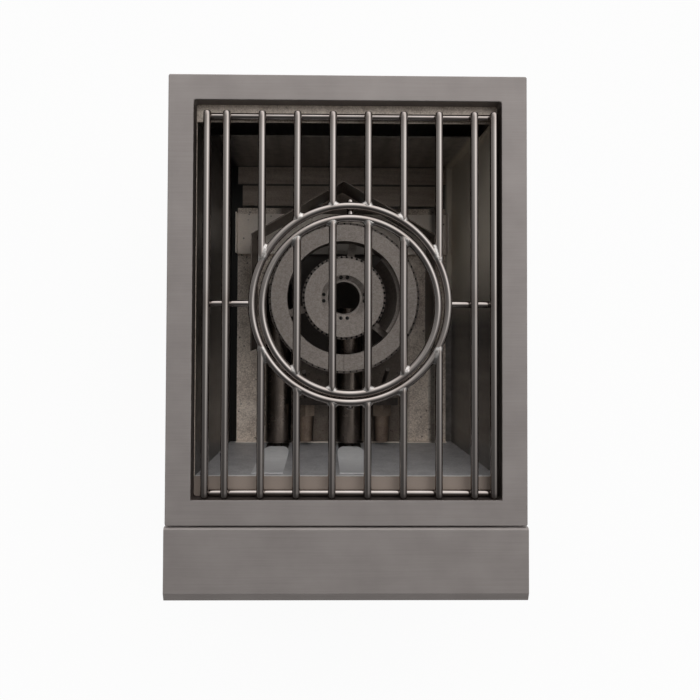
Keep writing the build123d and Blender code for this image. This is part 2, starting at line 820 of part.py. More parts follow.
# Outer mixing tube: runs back under the ring burner and rises into its trough
with BuildPart() as outer_venturi:
    y_end = y_burner + tube_end_run
    rod((outer_tube_x, y_mouth, z_tube), (outer_tube_x, y_end, z_tube), tube_radius)
    with BuildSketch(Plane.XY.offset(z_tube)):
        with Locations((outer_riser_x, y_burner)):
            SlotOverall(outer_riser_length, outer_riser_width, rotation=90)
    extrude(amount=z_outer_floor - z_tube)
    rod(
        (outer_tube_x, y_mouth + tube_wall, z_tube),
        (outer_tube_x, y_end - tube_wall, z_tube),
        tube_radius - tube_wall,
        Mode.SUBTRACT,
    )
    with BuildSketch(Plane.XY.offset(z_tube)):
        with Locations((outer_riser_x, y_burner)):
            SlotOverall(outer_riser_length - 4 * tube_wall, outer_riser_width - 2 * tube_wall, rotation=90)
    extrude(amount=z_outer_floor - z_tube, mode=Mode.SUBTRACT)
    air_holes(outer_tube_x, y_mouth, y_mouth + tube_wall)
write_piece(outer_venturi.part, "outer_venturi")

# Inner mixing tube: runs back under the inner burner and rises into its trough
with BuildPart() as inner_venturi:
    y_end = inner_riser_y + tube_end_run
    riser = inner_riser_diameter / 2
    rod((inner_tube_x, y_mouth, z_tube), (inner_tube_x, y_end, z_tube), tube_radius)
    rod((inner_tube_x, inner_riser_y, z_tube), (inner_tube_x, inner_riser_y, z_inner_floor), riser)
    rod(
        (inner_tube_x, y_mouth + tube_wall, z_tube),
        (inner_tube_x, y_end - tube_wall, z_tube),
        tube_radius - tube_wall,
        Mode.SUBTRACT,
    )
    rod(
        (inner_tube_x, inner_riser_y, z_tube),
        (inner_tube_x, inner_riser_y, z_inner_floor),
        riser - tube_wall,
        Mode.SUBTRACT,
    )
    air_holes(inner_tube_x, y_mouth, y_mouth + tube_wall)
write_piece(inner_venturi.part, "inner_venturi")


def air_shutter(x):
    """Make the turning disc at a tube's mouth, with a thumb tab on its rim."""
    y_back = y_mouth - shutter_gap
    y_front = y_back - shutter_sheet
    tab_turn = math.radians(shutter_tab_angle)
    with BuildPart() as shutter:
        rod((x, y_front, z_tube), (x, y_back, z_tube), tube_radius - seat_clearance)
        tab_out = (math.cos(tab_turn), 0, math.sin(tab_turn))
        with BuildSketch(Plane(origin=(x, y_back, z_tube), x_dir=tab_out, z_dir=(0, -1, 0))):
            with Locations((tube_radius, 0)):
                Rectangle(2 * shutter_tab_reach, shutter_tab_width)
        extrude(amount=shutter_sheet)
        air_holes(x, y_front, y_back)
    return shutter.part


write_piece(air_shutter(outer_tube_x), "outer_shutter")
write_piece(air_shutter(inner_tube_x), "inner_shutter")

# Igniter bracket: upright plate with a top flange, notched over the inner mixing tube
y_igniter = y_mouth + igniter_bracket_y_gap - shutter_sheet
z_igniter_bracket = tray_height + igniter_bracket_height
with BuildPart() as igniter_bracket:
    slab(
        (x_igniter_left, y_igniter - igniter_sheet, tray_height),
        (igniter_bracket_right, y_igniter, z_igniter_bracket),
    )
    slab(
        (x_igniter_left, y_igniter - igniter_sheet, z_igniter_bracket - igniter_sheet),
        (igniter_bracket_right, y_igniter + igniter_bracket_flange, z_igniter_bracket),
    )
    notch = tube_radius + 2 * seat_clearance
    slab(
        (inner_tube_x - notch, y_igniter - igniter_sheet, tray_height),
        (inner_tube_x + notch, y_igniter, z_tube),
        Mode.SUBTRACT,
    )
    rod(
        (inner_tube_x, y_igniter - igniter_sheet, z_tube),
        (inner_tube_x, y_igniter, z_tube),
        notch,
        Mode.SUBTRACT,
    )
    for x in igniter_x:
        rod(
            (x, y_igniter - igniter_sheet, z_tube),
            (x, y_igniter, z_tube),
            bushing_spigot / 2,
            Mode.SUBTRACT,
        )
write_piece(igniter_bracket.part, "igniter_bracket")

# Igniter bushings: hex bodies against the bracket, their spigots through it
y_bushing_front = y_igniter - igniter_sheet - bushing_length
y_spigot_end = y_igniter + igniter_bracket_flange / 2
with BuildPart() as igniter_bushings:
    for x in igniter_x:
        add(hex_rod((x, y_igniter - igniter_sheet, z_tube), (x, y_bushing_front, z_tube), bushing_flats))
        rod((x, y_igniter - igniter_sheet, z_tube), (x, y_spigot_end, z_tube), bushing_spigot / 2)
write_piece(igniter_bushings.part, "igniter_bushings")

# Igniter boots: tapered sleeves on the front of the bushings
with BuildPart() as igniter_boots:
    for x in igniter_x:
        with Locations(Plane(origin=(x, y_bushing_front, z_tube), z_dir=(0, -1, 0))):
            Cone(
                boot_root_diameter / 2,
                boot_tip_diameter / 2,
                boot_length,
                align=(Align.CENTER, Align.CENTER, Align.MIN),
            )
write_piece(igniter_boots.part, "igniter_boots")

# Spark electrodes: bent rods from the bushings up to the burner's rim
with BuildPart() as spark_electrodes:
    for x in igniter_x:
        reach = outer_lid_radius + electrode_tip_gap
        bend_point = (x, y_spigot_end + electrode_run, z_tube)
        tip = (x, y_burner - math.sqrt(reach**2 - x**2) - electrode_diameter, z_burner - electrode_tip_drop)
        rod((x, y_spigot_end, z_tube), bend_point, electrode_diameter / 2)
        rod(bend_point, tip, electrode_diameter / 2)
        with Locations(bend_point):
            Sphere(electrode_diameter / 2)
write_piece(spark_electrodes.part, "spark_electrodes")

# Gas manifold: square tube under both valves, closed at its left end
with BuildPart() as gas_manifold:
    half = manifold_side / 2
    half_bore = half - manifold_wall
    slab(
        (x_manifold_left, y_manifold - half, z_manifold - half),
        (x_manifold_right, y_manifold + half, z_manifold + half),
    )
    slab(
        (x_manifold_left + manifold_wall, y_manifold - half_bore, z_manifold - half_bore),
        (x_manifold_right, y_manifold + half_bore, z_manifold + half_bore),
        Mode.SUBTRACT,
    )
    for x in (outer_tube_x, inner_tube_x):
        rod(
            (x, y_manifold, z_manifold_top - manifold_wall),
            (x, y_manifold, z_manifold_top),
            inlet_bore_diameter / 2,
            Mode.SUBTRACT,
        )
write_piece(gas_manifold.part, "gas_manifold")

# Manifold clips: two angle brackets on the heat shield that carry the manifold
with BuildPart() as manifold_clips:
    z_clip = z_manifold - manifold_side / 2
    for x in (x_manifold_left + clip_width, x_manifold_right - clip_width):
        slab(
            (x - clip_width / 2, y_manifold - manifold_side / 2, z_clip - sheet),
            (x + clip_width / 2, y_heat_shield, z_clip),
        )
        slab(
            (x - clip_width / 2, y_heat_shield - sheet, z_clip),
            (x + clip_width / 2, y_heat_shield, z_manifold_top),
        )
write_piece(manifold_clips.part, "manifold_clips")

# Gas inlet: plugged into the manifold's right end, with a hex and a flare nipple outside the casing
with BuildPart() as gas_inlet:
    x_hex = x_casing + sheet
    x_nipple = x_hex + inlet_hex_run
    x_end = x_nipple + inlet_nipple_run
    rod((x_manifold_right, y_manifold, z_manifold), (x_hex, y_manifold, z_manifold), inlet_body_diameter / 2)
    add(hex_rod((x_hex, y_manifold, z_manifold), (x_nipple, y_manifold, z_manifold), inlet_flats))
    rod((x_nipple, y_manifold, z_manifold), (x_end, y_manifold, z_manifold), inlet_nipple_diameter / 2)
    flange_half = manifold_side / 2
    slab(
        (x_manifold_right, y_manifold - flange_half, z_manifold - flange_half),
        (x_manifold_right + manifold_wall, y_manifold + flange_half, z_manifold + flange_half),
    )
    rod(
        (x_manifold_right, y_manifold, z_manifold),
        (x_end, y_manifold, z_manifold),
        inlet_bore_diameter / 2,
        Mode.SUBTRACT,
    )
write_piece(gas_inlet.part, "gas_inlet")


def gas_valve(x):
    """Make one valve body: block, nose for the stem, outlet to the orifice and boss to the manifold."""
    with BuildPart() as valve:
        slab(
            (x - valve_width / 2, y_valve_front, z_tube - valve_half_height),
            (x + valve_width / 2, y_valve_back, z_tube + valve_half_height),
        )
        fillet(valve.edges().filter_by(Axis.Y), radius=end_round)
        rod((x, y_valve_nose, z_tube), (x, y_valve_front, z_tube), valve_nose_diameter / 2)
        rod((x, y_valve_back, z_tube), (x, y_outlet_end, z_tube), valve_outlet_diameter / 2)
        rod((x, y_manifold, z_manifold_top), (x, y_manifold, z_tube), valve_boss_diameter / 2)
        rod(
            (x, y_valve_nose, z_tube),
            (x, y_valve_nose + stem_depth + push_travel + stop_gap, z_tube),
            stem_diameter / 2 + running_gap,
            Mode.SUBTRACT,
        )
    return valve.part


def orifice(x):
    """Make one brass orifice: hex next to the valve outlet, spud reaching into the tube's mouth."""
    y_hex_end = y_outlet_end + orifice_hex_run
    with BuildPart() as spud:
        add(hex_rod((x, y_outlet_end, z_tube), (x, y_hex_end, z_tube), orifice_flats))
        rod((x, y_hex_end, z_tube), (x, y_orifice_tip, z_tube), orifice_diameter / 2)
        chamfer(spud.faces().sort_by(Axis.Y)[-1].edges(), length=jet_diameter)
        y_jet = y_orifice_tip - jet_depth
        rod((x, y_jet, z_tube), (x, y_orifice_tip, z_tube), jet_diameter / 2, Mode.SUBTRACT)
    return spud.part


def valve_stem(x):
    """Make one stem, from inside the valve through the fascia into the knob."""
    with BuildPart() as stem:
        rod(
            (x, y_knob_back - knob_stem_depth, z_tube),
            (x, y_valve_nose + stem_depth, z_tube),
            stem_diameter / 2,
        )
    return stem.part


def push_collar(x):
    """Make the thrust ring that the stem turns in and pushes with."""
    with BuildPart() as collar:
        rod((x, y_collar_front, z_tube), (x, y_collar_back, z_tube), collar_diameter / 2)
        bore = stem_diameter / 2 + running_gap
        rod((x, y_collar_front, z_tube), (x, y_collar_back, z_tube), bore, Mode.SUBTRACT)
    return collar.part


def knob(x):
    """Make one knob: round skirt with a grip bar across it and a pointer groove."""
    y_skirt = y_knob_back - knob_skirt
    grip_length = knob_diameter - 2 * end_round
    with BuildPart() as handle:
        rod((x, y_skirt, z_tube), (x, y_knob_back, z_tube), knob_diameter / 2)
        fillet(handle.faces().sort_by(Axis.Y)[0].edges(), radius=end_round)
        with BuildSketch(Plane.XZ.offset(-y_skirt)):
            with Locations((x, z_tube)):
                SlotOverall(grip_length, knob_grip_width, rotation=90)
        extrude(amount=y_skirt - y_knob_front)
        fillet(handle.faces().sort_by(Axis.Y)[0].edges(), radius=end_round)
        slab(
            (x - pointer_width / 2, y_knob_front, z_tube + grip_length / 6),
            (x + pointer_width / 2, y_knob_front + pointer_depth, z_tube + knob_diameter / 2),
            Mode.SUBTRACT,
        )
        rod(
            (x, y_knob_back - knob_stem_depth, z_tube),
            (x, y_knob_back, z_tube),
            stem_diameter / 2,
            Mode.SUBTRACT,
        )
    return handle.part


for name, x in (("outer", outer_tube_x), ("inner", inner_tube_x)):
    write_piece(gas_valve(x), f"{name}_valve")
    write_piece(orifice(x), f"{name}_orifice")
    write_piece(valve_stem(x), f"{name}_stem")
    write_piece(push_collar(x), f"{name}_push_collar")
    write_piece(knob(x), f"{name}_knob")

# Knob bezels: round rims on the fascia that shroud the knob skirts
with BuildPart() as knob_bezels:
    for x in (outer_tube_x, inner_tube_x):
        with BuildSketch(Plane(origin=(x, 0, z_tube), x_dir=(1, 0, 0), z_dir=(0, 0, 1))):
            with BuildLine():
                Polyline(
                    (bezel_bore / 2, y_fascia),
                    (bezel_diameter / 2, y_fascia),
                    (bezel_diameter / 2, y_fascia - bezel_depth / 3),
                    (bezel_bore / 2 + lid_overhang, y_fascia - bezel_depth),
                    (bezel_bore / 2, y_fascia - bezel_depth),
                    close=True,
                )
            make_face()
        revolve(axis=Axis((x, 0, z_tube), (0, 1, 0)))
write_piece(knob_bezels.part, "knob_bezels")

# Igniter button, its bezel with a barrel through the fascia, and the spark module behind
button_bore = button_diameter / 2 + button_gap
with BuildPart() as button_bezel:
    y_face = y_fascia - button_bezel_depth
    rod((button_x, y_face, z_button), (button_x, y_fascia, z_button), button_bezel_diameter / 2)
    chamfer(button_bezel.faces().sort_by(Axis.Y)[0].edges(), length=button_bezel_depth / 2)
    rod((button_x, y_fascia, z_button), (button_x, y_module, z_button), button_bore + button_barrel_wall)
    rod((button_x, y_face, z_button), (button_x, y_module, z_button), button_bore, Mode.SUBTRACT)
write_piece(button_bezel.part, "button_bezel")

with BuildPart() as igniter_button:
    rod((button_x, y_button_front, z_button), (button_x, y_button_back, z_button), button_diameter / 2)
    fillet(igniter_button.faces().sort_by(Axis.Y)[0].edges(), radius=end_round / 2)
write_piece(igniter_button.part, "igniter_button")

with BuildPart() as spark_module:
    rod((button_x, y_module, z_button), (button_x, y_module + module_length, z_button), module_diameter / 2)
    fillet(spark_module.faces().sort_by(Axis.Y)[-1].edges(), radius=end_round)
write_piece(spark_module.part, "spark_module")

# Fascia screws: domed heads on the fascia, shanks through the side flanges
with BuildPart() as fascia_screws:
    for side in (-1, 1):
        x = side * (x_casing - side_flange / 2)
        for rise in (-1, 1):
            z = overall_height / 2 + rise * screw_spread / 2
            rod((x, y_fascia - screw_head_height, z), (x, y_fascia, z), screw_head_diameter / 2)
            rod((x, y_fascia, z), (x, y_fascia_back + 2 * sheet, z), rivet_shank_diameter / 2)
    head_faces = fascia_screws.faces().filter_by(Plane.XZ).group_by(Axis.Y)[0]
    fillet(head_faces.edges(), radius=screw_head_height / 2)
write_piece(fascia_screws.part, "fascia_screws")

# Rear rivets: domed heads on the rear panel, shanks through the side flanges
with BuildPart() as rear_rivets:
    for side in (-1, 1):
        x = side * (x_casing - side_flange / 2)
        for i in range(rivet_count):
            z = overall_height / 2 + (i - (rivet_count - 1) / 2) * rivet_pitch
            rod((x, y_casing_rear, z), (x, y_casing_rear + rivet_head_height, z), rivet_head_diameter / 2)
            rod((x, y_rear_panel - 2 * sheet, z), (x, y_casing_rear, z), rivet_shank_diameter / 2)
    head_faces = rear_rivets.faces().filter_by(Plane.XZ).group_by(Axis.Y)[-1]
    fillet(head_faces.edges(), radius=rivet_head_height / 2)
write_piece(rear_rivets.part, "rear_rivets")

# Grate ring: one bar bent to a circle and welded shut
with BuildPart() as grate_ring:
    with Locations((x_grate, y_grate, z_bar)):
        Torus(ring_radius, bar_radius)
write_piece(grate_ring.part, "grate_ring")


def grate_bar(x, y_from, y_to):
    """Add one front-to-back grate bar at a distance from the grate's middle."""
    rod((x_grate + x, y_from, z_bar), (x_grate + x, y_to, z_bar), bar_radius)


y_bars_front = y_grate - grate_length / 2
y_bars_rear = y_grate + grate_length / 2


def side_bars(side):
    """Make the two full-length bars of one side, with rounded ends."""
    with BuildPart() as pair:
        for x in (x_second_bar, x_outer_bar):
            grate_bar(side * x, y_bars_front, y_bars_rear)
        fillet(pair.edges().filter_by(GeomType.CIRCLE), radius=end_round)
    return pair.part


write_piece(side_bars(-1), "grate_bars_left")
write_piece(side_bars(1), "grate_bars_right")

# Cut bars: end in the ring, shaped to its round
with BuildPart() as grate_bars_rear:
    for x in cut_bar_places:
        y_ring = y_grate + math.sqrt(max(ring_radius**2 - x**2, 0))
        grate_bar(x, y_ring, y_bars_rear)
    fillet(
        grate_bars_rear.edges().filter_by(GeomType.CIRCLE).group_by(Axis.Y)[-1],
        radius=end_round,
    )
    with Locations((x_grate, y_grate, z_bar)):
        Torus(ring_radius, bar_radius + weld_gap, mode=Mode.SUBTRACT)
write_piece(grate_bars_rear.part, "grate_bars_rear")

with BuildPart() as grate_bars_front:
    for x in cut_bar_places:
        y_ring = y_grate - math.sqrt(max(ring_radius**2 - x**2, 0))
        grate_bar(x, y_bars_front, y_ring)
    fillet(
        grate_bars_front.edges().filter_by(GeomType.CIRCLE).group_by(Axis.Y)[0],
        radius=end_round,
    )
    with Locations((x_grate, y_grate, z_bar)):
        Torus(ring_radius, bar_radius + weld_gap, mode=Mode.SUBTRACT)
write_piece(grate_bars_front.part, "grate_bars_front")

# Cross rods under the bar ends, which rest on the front and rear ledges
with BuildPart() as grate_cross_rods:
    half = x_outer_bar + rod_radius
    for y in (y_bars_front + cross_rod_inset, y_bars_rear - cross_rod_inset):
        rod((x_grate - half, y, z_rod), (x_grate + half, y, z_rod), rod_radius)
    fillet(grate_cross_rods.edges().filter_by(GeomType.CIRCLE), radius=rod_radius / 2)
write_piece(grate_cross_rods.part, "grate_cross_rods")

# Side rods under the outer bars and the ring, whose inner ends carry the insert
with BuildPart() as grate_side_rods:
    for side in (-1, 1):
        x_from = x_grate + side * (insert_radius - peg_reach)
        x_to = x_grate + side * (x_outer_bar + rod_radius)
        rod((x_from, y_grate, z_rod), (x_to, y_grate, z_rod), rod_radius)
    fillet(grate_side_rods.edges().filter_by(GeomType.CIRCLE), radius=rod_radius / 2)
write_piece(grate_side_rods.part, "grate_side_rods")

# Pegs under the ring at the back and front, which carry the insert too
with BuildPart() as grate_pegs:
    for side in (-1, 1):
        y_from = y_insert + side * (insert_radius - peg_reach)
        y_to = y_grate + side * (ring_radius + peg_tail)
        rod((x_grate, y_from, z_rod), (x_grate, y_to, z_rod), rod_radius)
    fillet(grate_pegs.edges().filter_by(GeomType.CIRCLE), radius=rod_radius / 2)
write_piece(grate_pegs.part, "grate_pegs")

# Insert: smaller ring with four bars, lying loose on the pegs
with BuildPart() as insert_ring:
    with Locations((x_grate, y_insert, z_insert)):
        Torus(insert_radius, bar_radius)
write_piece(insert_ring.part, "insert_ring")

with BuildPart() as insert_bars:
    for x in insert_bar_places:
        half = math.sqrt(max(insert_radius**2 - x**2, 0))
        rod((x_grate + x, y_insert - half, z_insert), (x_grate + x, y_insert + half, z_insert), bar_radius)
    with Locations((x_grate, y_insert, z_insert)):
        Torus(insert_radius, bar_radius + weld_gap, mode=Mode.SUBTRACT)
write_piece(insert_bars.part, "insert_bars")
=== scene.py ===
"""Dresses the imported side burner: its sheet metal, castings, round rods, welds and fasteners."""
import json
import math
from functools import partial

import bmesh
import bpy
from bpy.props import FloatProperty, FloatVectorProperty, IntProperty, PointerProperty
from mathutils import Euler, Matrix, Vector


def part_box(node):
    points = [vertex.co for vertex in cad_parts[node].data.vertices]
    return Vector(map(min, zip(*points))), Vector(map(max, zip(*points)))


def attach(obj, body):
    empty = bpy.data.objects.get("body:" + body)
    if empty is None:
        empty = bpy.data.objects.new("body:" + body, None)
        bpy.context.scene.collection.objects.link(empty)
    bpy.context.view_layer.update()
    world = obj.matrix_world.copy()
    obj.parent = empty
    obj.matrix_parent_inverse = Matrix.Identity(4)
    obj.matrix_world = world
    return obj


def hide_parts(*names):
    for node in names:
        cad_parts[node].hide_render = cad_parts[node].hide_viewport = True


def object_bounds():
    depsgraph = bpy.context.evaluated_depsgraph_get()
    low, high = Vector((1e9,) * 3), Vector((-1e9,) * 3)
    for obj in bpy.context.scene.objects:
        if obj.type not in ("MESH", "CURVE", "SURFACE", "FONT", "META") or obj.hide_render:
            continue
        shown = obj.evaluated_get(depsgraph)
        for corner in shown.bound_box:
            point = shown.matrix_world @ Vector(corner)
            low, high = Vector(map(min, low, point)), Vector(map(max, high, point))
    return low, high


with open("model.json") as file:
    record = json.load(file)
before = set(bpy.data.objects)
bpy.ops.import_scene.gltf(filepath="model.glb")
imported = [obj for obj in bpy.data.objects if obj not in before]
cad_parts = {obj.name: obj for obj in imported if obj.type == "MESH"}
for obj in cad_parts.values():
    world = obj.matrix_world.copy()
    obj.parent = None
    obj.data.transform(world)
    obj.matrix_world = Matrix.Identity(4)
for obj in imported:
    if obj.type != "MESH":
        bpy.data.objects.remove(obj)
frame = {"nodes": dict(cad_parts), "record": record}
cad_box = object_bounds()

bl_info = {
    "name": "Power side burner",
    "version": (1, 0, 0),
    "blender": (4, 5, 0),
    "location": "3D View > Sidebar > Burner",
    "description": "Finishes, rods, welds and stage for a drop-in side burner",
    "category": "Object",
}

MM = 0.001
UP = Vector((0, 0, 1))
IN_PLAN = (1, 1, 0)
SLOT_OF = {part["node"]: part["material_slot"] for part in frame["record"]["subparts"]}

# Places on the solids that the finishes follow
TRIM_WIDTH = 26 * MM
WALL_LEAN = 24 * MM
WALL_FADE = 6 * MM
# the two straw places below also bound the painted light on the right wall
STRAW_AND_LIGHT_START = 10 * MM
STRAW_AND_LIGHT_END = 90 * MM
WALL_FOOT = 56 * MM
TRAY_FLOOR = 57 * MM
BRACKET_FOOT = 60 * MM
# the half width, radius and inset below place painted shade and painted shadows on the tray
SHADE_HALF = 80 * MM
SHADOW_RADIUS = 84 * MM
SHADOW_INSET = 17 * MM

# Steps and small sizes of the built shapes
MERGE_DISTANCE = 0.001 * MM
WELD_LENGTH = 30 * MM
CROSSING_REACH = 8 * MM
WELD_STRIDES = (0.4 * MM, 0.1 * MM, 0.02 * MM)

# Heads of the fasteners, as shares of their height and radius
DOME_DROP = 0.55
DOME_POWER = 3.0
RECESS_DEPTH = 0.6
SCREW_CROSS = {"Recess reach": 0.62, "Recess arm": 0.13}
RIVET_DIMPLE = {"Recess reach": 0.40, "Recess arm": 1.0}

# Stage
FLOOR_GAP = 0.2 * MM
NEAR_CLIP = 10 * MM
SENSOR_MM = 36.0


def linear(code):
    """Turn an sRGB hex colour into linear red, green, blue and alpha."""
    shares = [int(code[i:i + 2], 16) / 255 for i in (1, 3, 5)]
    return tuple(s / 12.92 if s <= 0.04045 else ((s + 0.055) / 1.055) ** 2.4 for s in shares) + (1.0,)


def per_mm(size):
    """Give the texture scale at which a pattern repeats about once in that many millimetres."""
    return 1.0 / (size * MM)


# Settings

def colour(name, description, code):
    """Declare a colour that a user may change."""
    return FloatVectorProperty(name=name, description=description, subtype="COLOR", size=4, min=0.0, max=1.0,
                               default=linear(code))


def length(name, description, size):
    """Declare a size, in millimetres, that a user may change."""
    return FloatProperty(name=name, description=description, default=size * MM, unit="LENGTH")


def amount(name, description, value):
    """Declare a plain number that a user may change."""
    return FloatProperty(name=name, description=description, default=value)


def angle(name, description, degrees):
    """Declare an angle that a user may change."""
    return FloatProperty(name=name, description=description, default=math.radians(degrees), subtype="ANGLE")


def direction(name, description, way):
    """Declare a direction that a user may change."""
    return FloatVectorProperty(name=name, description=description, default=way, subtype="DIRECTION")


class BurnerFinishes(bpy.types.PropertyGroup):
    """Colours of the finishes and the floor"""
    trim_dark: colour("Trim, dark", "Brushed trim between the hairlines", "#9F9895")
    trim_light: colour("Trim, light", "Brushed trim on the hairlines", "#ADA6A3")
    # the fold colour is painted shade on the frame's inner flange, in a heat-brown colour
    trim_fold_shade: colour("Trim, fold", "Brushed trim browned by heat inside the well", "#3A312C")
    brown_dark: colour("Browned sheet, dark", "Louvre sheet browned by heat", "#8A7B70")
    brown_light: colour("Browned sheet, light", "Louvre sheet, paler bands", "#B5A699")
    casing_dark: colour("Casing, dark", "Mill-finish casing in its darker clouds", "#89847F")
    casing_light: colour("Casing, light", "Mill-finish casing in its paler clouds", "#9E9893")
    liner_dark: colour("Liner, dark", "Heat-dulled liner in its smoky patches", "#8A847E")
    liner_light: colour("Liner, light", "Heat-dulled liner where it stays bright", "#C2BBB4")
    # the straw colour is also painted light on the back of the right wall
    straw_and_light: colour("Straw tint", "Straw heat colour on the liner", "#EDE3D2")
    # the smoke colour is painted shade on the side walls
    smoke_and_shade: colour("Smoke", "Smoke on the side walls of the liner", "#332F2C")
    # the soot colour also serves as painted shade and painted shadow in the firebox and on the flanks of
    # tubes and fittings
    soot_and_shade: colour("Soot", "Soot in ports, corners and seams", "#14110F")
    matt_dark: colour("Front wall, dark", "Matt front wall in its darker mottling", "#A3A1A2")
    matt_light: colour("Front wall, light", "Matt front wall in its paler mottling", "#C6C4C5")
    # the edge colour is a painted highlight along the top of the front wall
    matt_highlight: colour("Front wall, edge", "Rolled bright edge of the front wall", "#F2F0EE")
    matt_ledge: colour("Front wall, ledge", "Ledge of the front wall", "#9C8E84")
    tray_dark: colour("Tray, dark", "Aluminised sheet in its darker spangle", "#B5A496")
    tray_light: colour("Tray, light", "Aluminised sheet in its paler spangle", "#F7E9DA")
    # the clean colour is painted light on the raised bracket
    tray_lit: colour("Tray, clean", "Aluminised sheet of the raised bracket", "#FAEEE2")
    tray_speck: colour("Tray, specks", "Burnt specks on the aluminised sheet", "#5A4C42")
    # the scorch colour is painted shade beneath the burner and between its tubes
    tray_shade: colour("Tray, scorched", "Aluminised sheet scorched under the burner", "#46372B")
    rod_bright: colour("Rod, bright", "Polished rod away from the welds", "#A19A96")
    rod_heat: colour("Rod, heat", "Brown heat tint of a rod beside a weld", "#8A7F79")
    weld_bright: colour("Weld, bright", "Weld metal on its lumps", "#B3AFAC")
    cast_dark: colour("Casting, dark", "Blasted casting in its pits", "#8F8680")
    cast_light: colour("Casting, light", "Blasted casting on its grains", "#AEA59E")
    tube_dark: colour("Tube, dark", "Drawn tube in its brown streaks", "#645B54")
    tube_light: colour("Tube, light", "Drawn tube between its streaks", "#7A7069")
    tint_dark: colour("Tinted sheet, dark", "Heat-tinted sheet, brown", "#54483F")
    tint_light: colour("Tinted sheet, light", "Heat-tinted sheet, grey", "#7B726B")
    cover_dark: colour("Cover, dark", "Bright cover plate in its scuffs", "#EDECEC")
    cover_light: colour("Cover, light", "Bright cover plate", "#FAF9F9")
    plated_dark: colour("Plated fitting, dark", "Plated fitting, speckled brown", "#7A6A5C")
    plated_light: colour("Plated fitting, light", "Plated fitting, clean", "#9C8D7F")
    boot_dark: colour("Boot, dark", "Glazed ceramic in its speckle", "#5A4A3E")
    boot_light: colour("Boot, light", "Glazed ceramic body", "#7E6C5D")
    burnt_dark: colour("Burnt metal, dark", "Small metal parts black with heat", "#221D1A")
    burnt_light: colour("Burnt metal, light", "Small metal parts brown with heat", "#3E352F")
    brass_dark: colour("Brass, dark", "Turned brass in its tool marks", "#5E4E30")
    brass_light: colour("Brass, light", "Turned brass on its ridges", "#8A7242")
    pipe_dark: colour("Pipe, dark", "Galvanised pipe in its spangle", "#66655F")
    pipe_light: colour("Pipe, light", "Galvanised pipe on its spangle", "#99978F")
    knob_dark: colour("Knob, dark", "Satin die casting between its turning lines", "#8E8A86")
    knob_light: colour("Knob, light", "Satin die casting on its turning lines", "#B9B5B1")
    plastic_dark: colour("Plastic, dark", "Moulded black plastic in its grain", "#0F0F10")
    plastic_light: colour("Plastic, light", "Moulded black plastic on its grain", "#242425")
    zinc_dark: colour("Zinc, dark", "Zinc-plated fastener in its scuffs", "#86847D")
    zinc_light: colour("Zinc, light", "Zinc-plated fastener, clean", "#B8B5AC")
    floor: colour("Floor", "Pale floor", "#F4F4F3")
    floor_white: amount("Floor white", "Share of plain white in the floor as it is seen", 0.94)


class BurnerRods(bpy.types.PropertyGroup):
    """Sizes of the grate's rods and welds"""
    sides: IntProperty(name="Sides", description="Faces round a rod", default=32, min=12)
    ring_steps: IntProperty(name="Ring steps", description="Faces along a bent ring", default=240, min=48)
    step: length("Step", "Length of a rod's faces", 4)
    end_round: length("End rounding", "Ground radius at a rod's free end", 1.9)
    heat_reach: length("Heat reach", "How far a weld tints its rod", 7)
    weld_corner: length("Corner fillet", "Reach of a weld's fillet beside its bar", 4.2)
    weld_crest: length("Crest fillet", "Reach of a weld's fillet on top of its bar", 0.5)
    weld_sink: length("Sink", "Depth of a weld's rim under the skin of its rods", 0.05)
    weld_step: length("Weld step", "Length of a weld's faces along its bar", 0.8)
    ripple: length("Ripple", "Height of the ripples on a weld", 0.15)
    ripple_size: length("Ripple size", "Length of the ripples on a weld", 2.4)


class BurnerCovers(bpy.types.PropertyGroup):
    """Shape of the slot covers"""
    corner_width: length("Corner width", "Width of a cover's rounded lower corner", 9)
    corner_height: length("Corner height", "Height of a cover's rounded lower corner", 40)
    edge: length("Edge", "Rounding of a cover's sheared edge", 0.25)


class BurnerPorts(bpy.types.PropertyGroup):
    """Places of the gas ports, as they are drilled"""
    outer_count: IntProperty(name="Outer ports", description="Ports round the outer lid", default=72)
    inner_count: IntProperty(name="Inner ports", description="Ports round the inner cap", default=50)
    rim: length("Rim", "Width of the bevel that holds the ports", 3)
    pair_radius: length("Pair radius", "Radius of the paired ports in the dish", 24)
    pair_gap: length("Pair gap", "Distance between the ports of a pair", 7.6)
    bore: length("Bore", "Radius of the middle bore", 18.8)
    # the soot reach also sizes the painted shade in each port
    reach: length("Soot reach", "Radius of the soot on a port", 1.7)


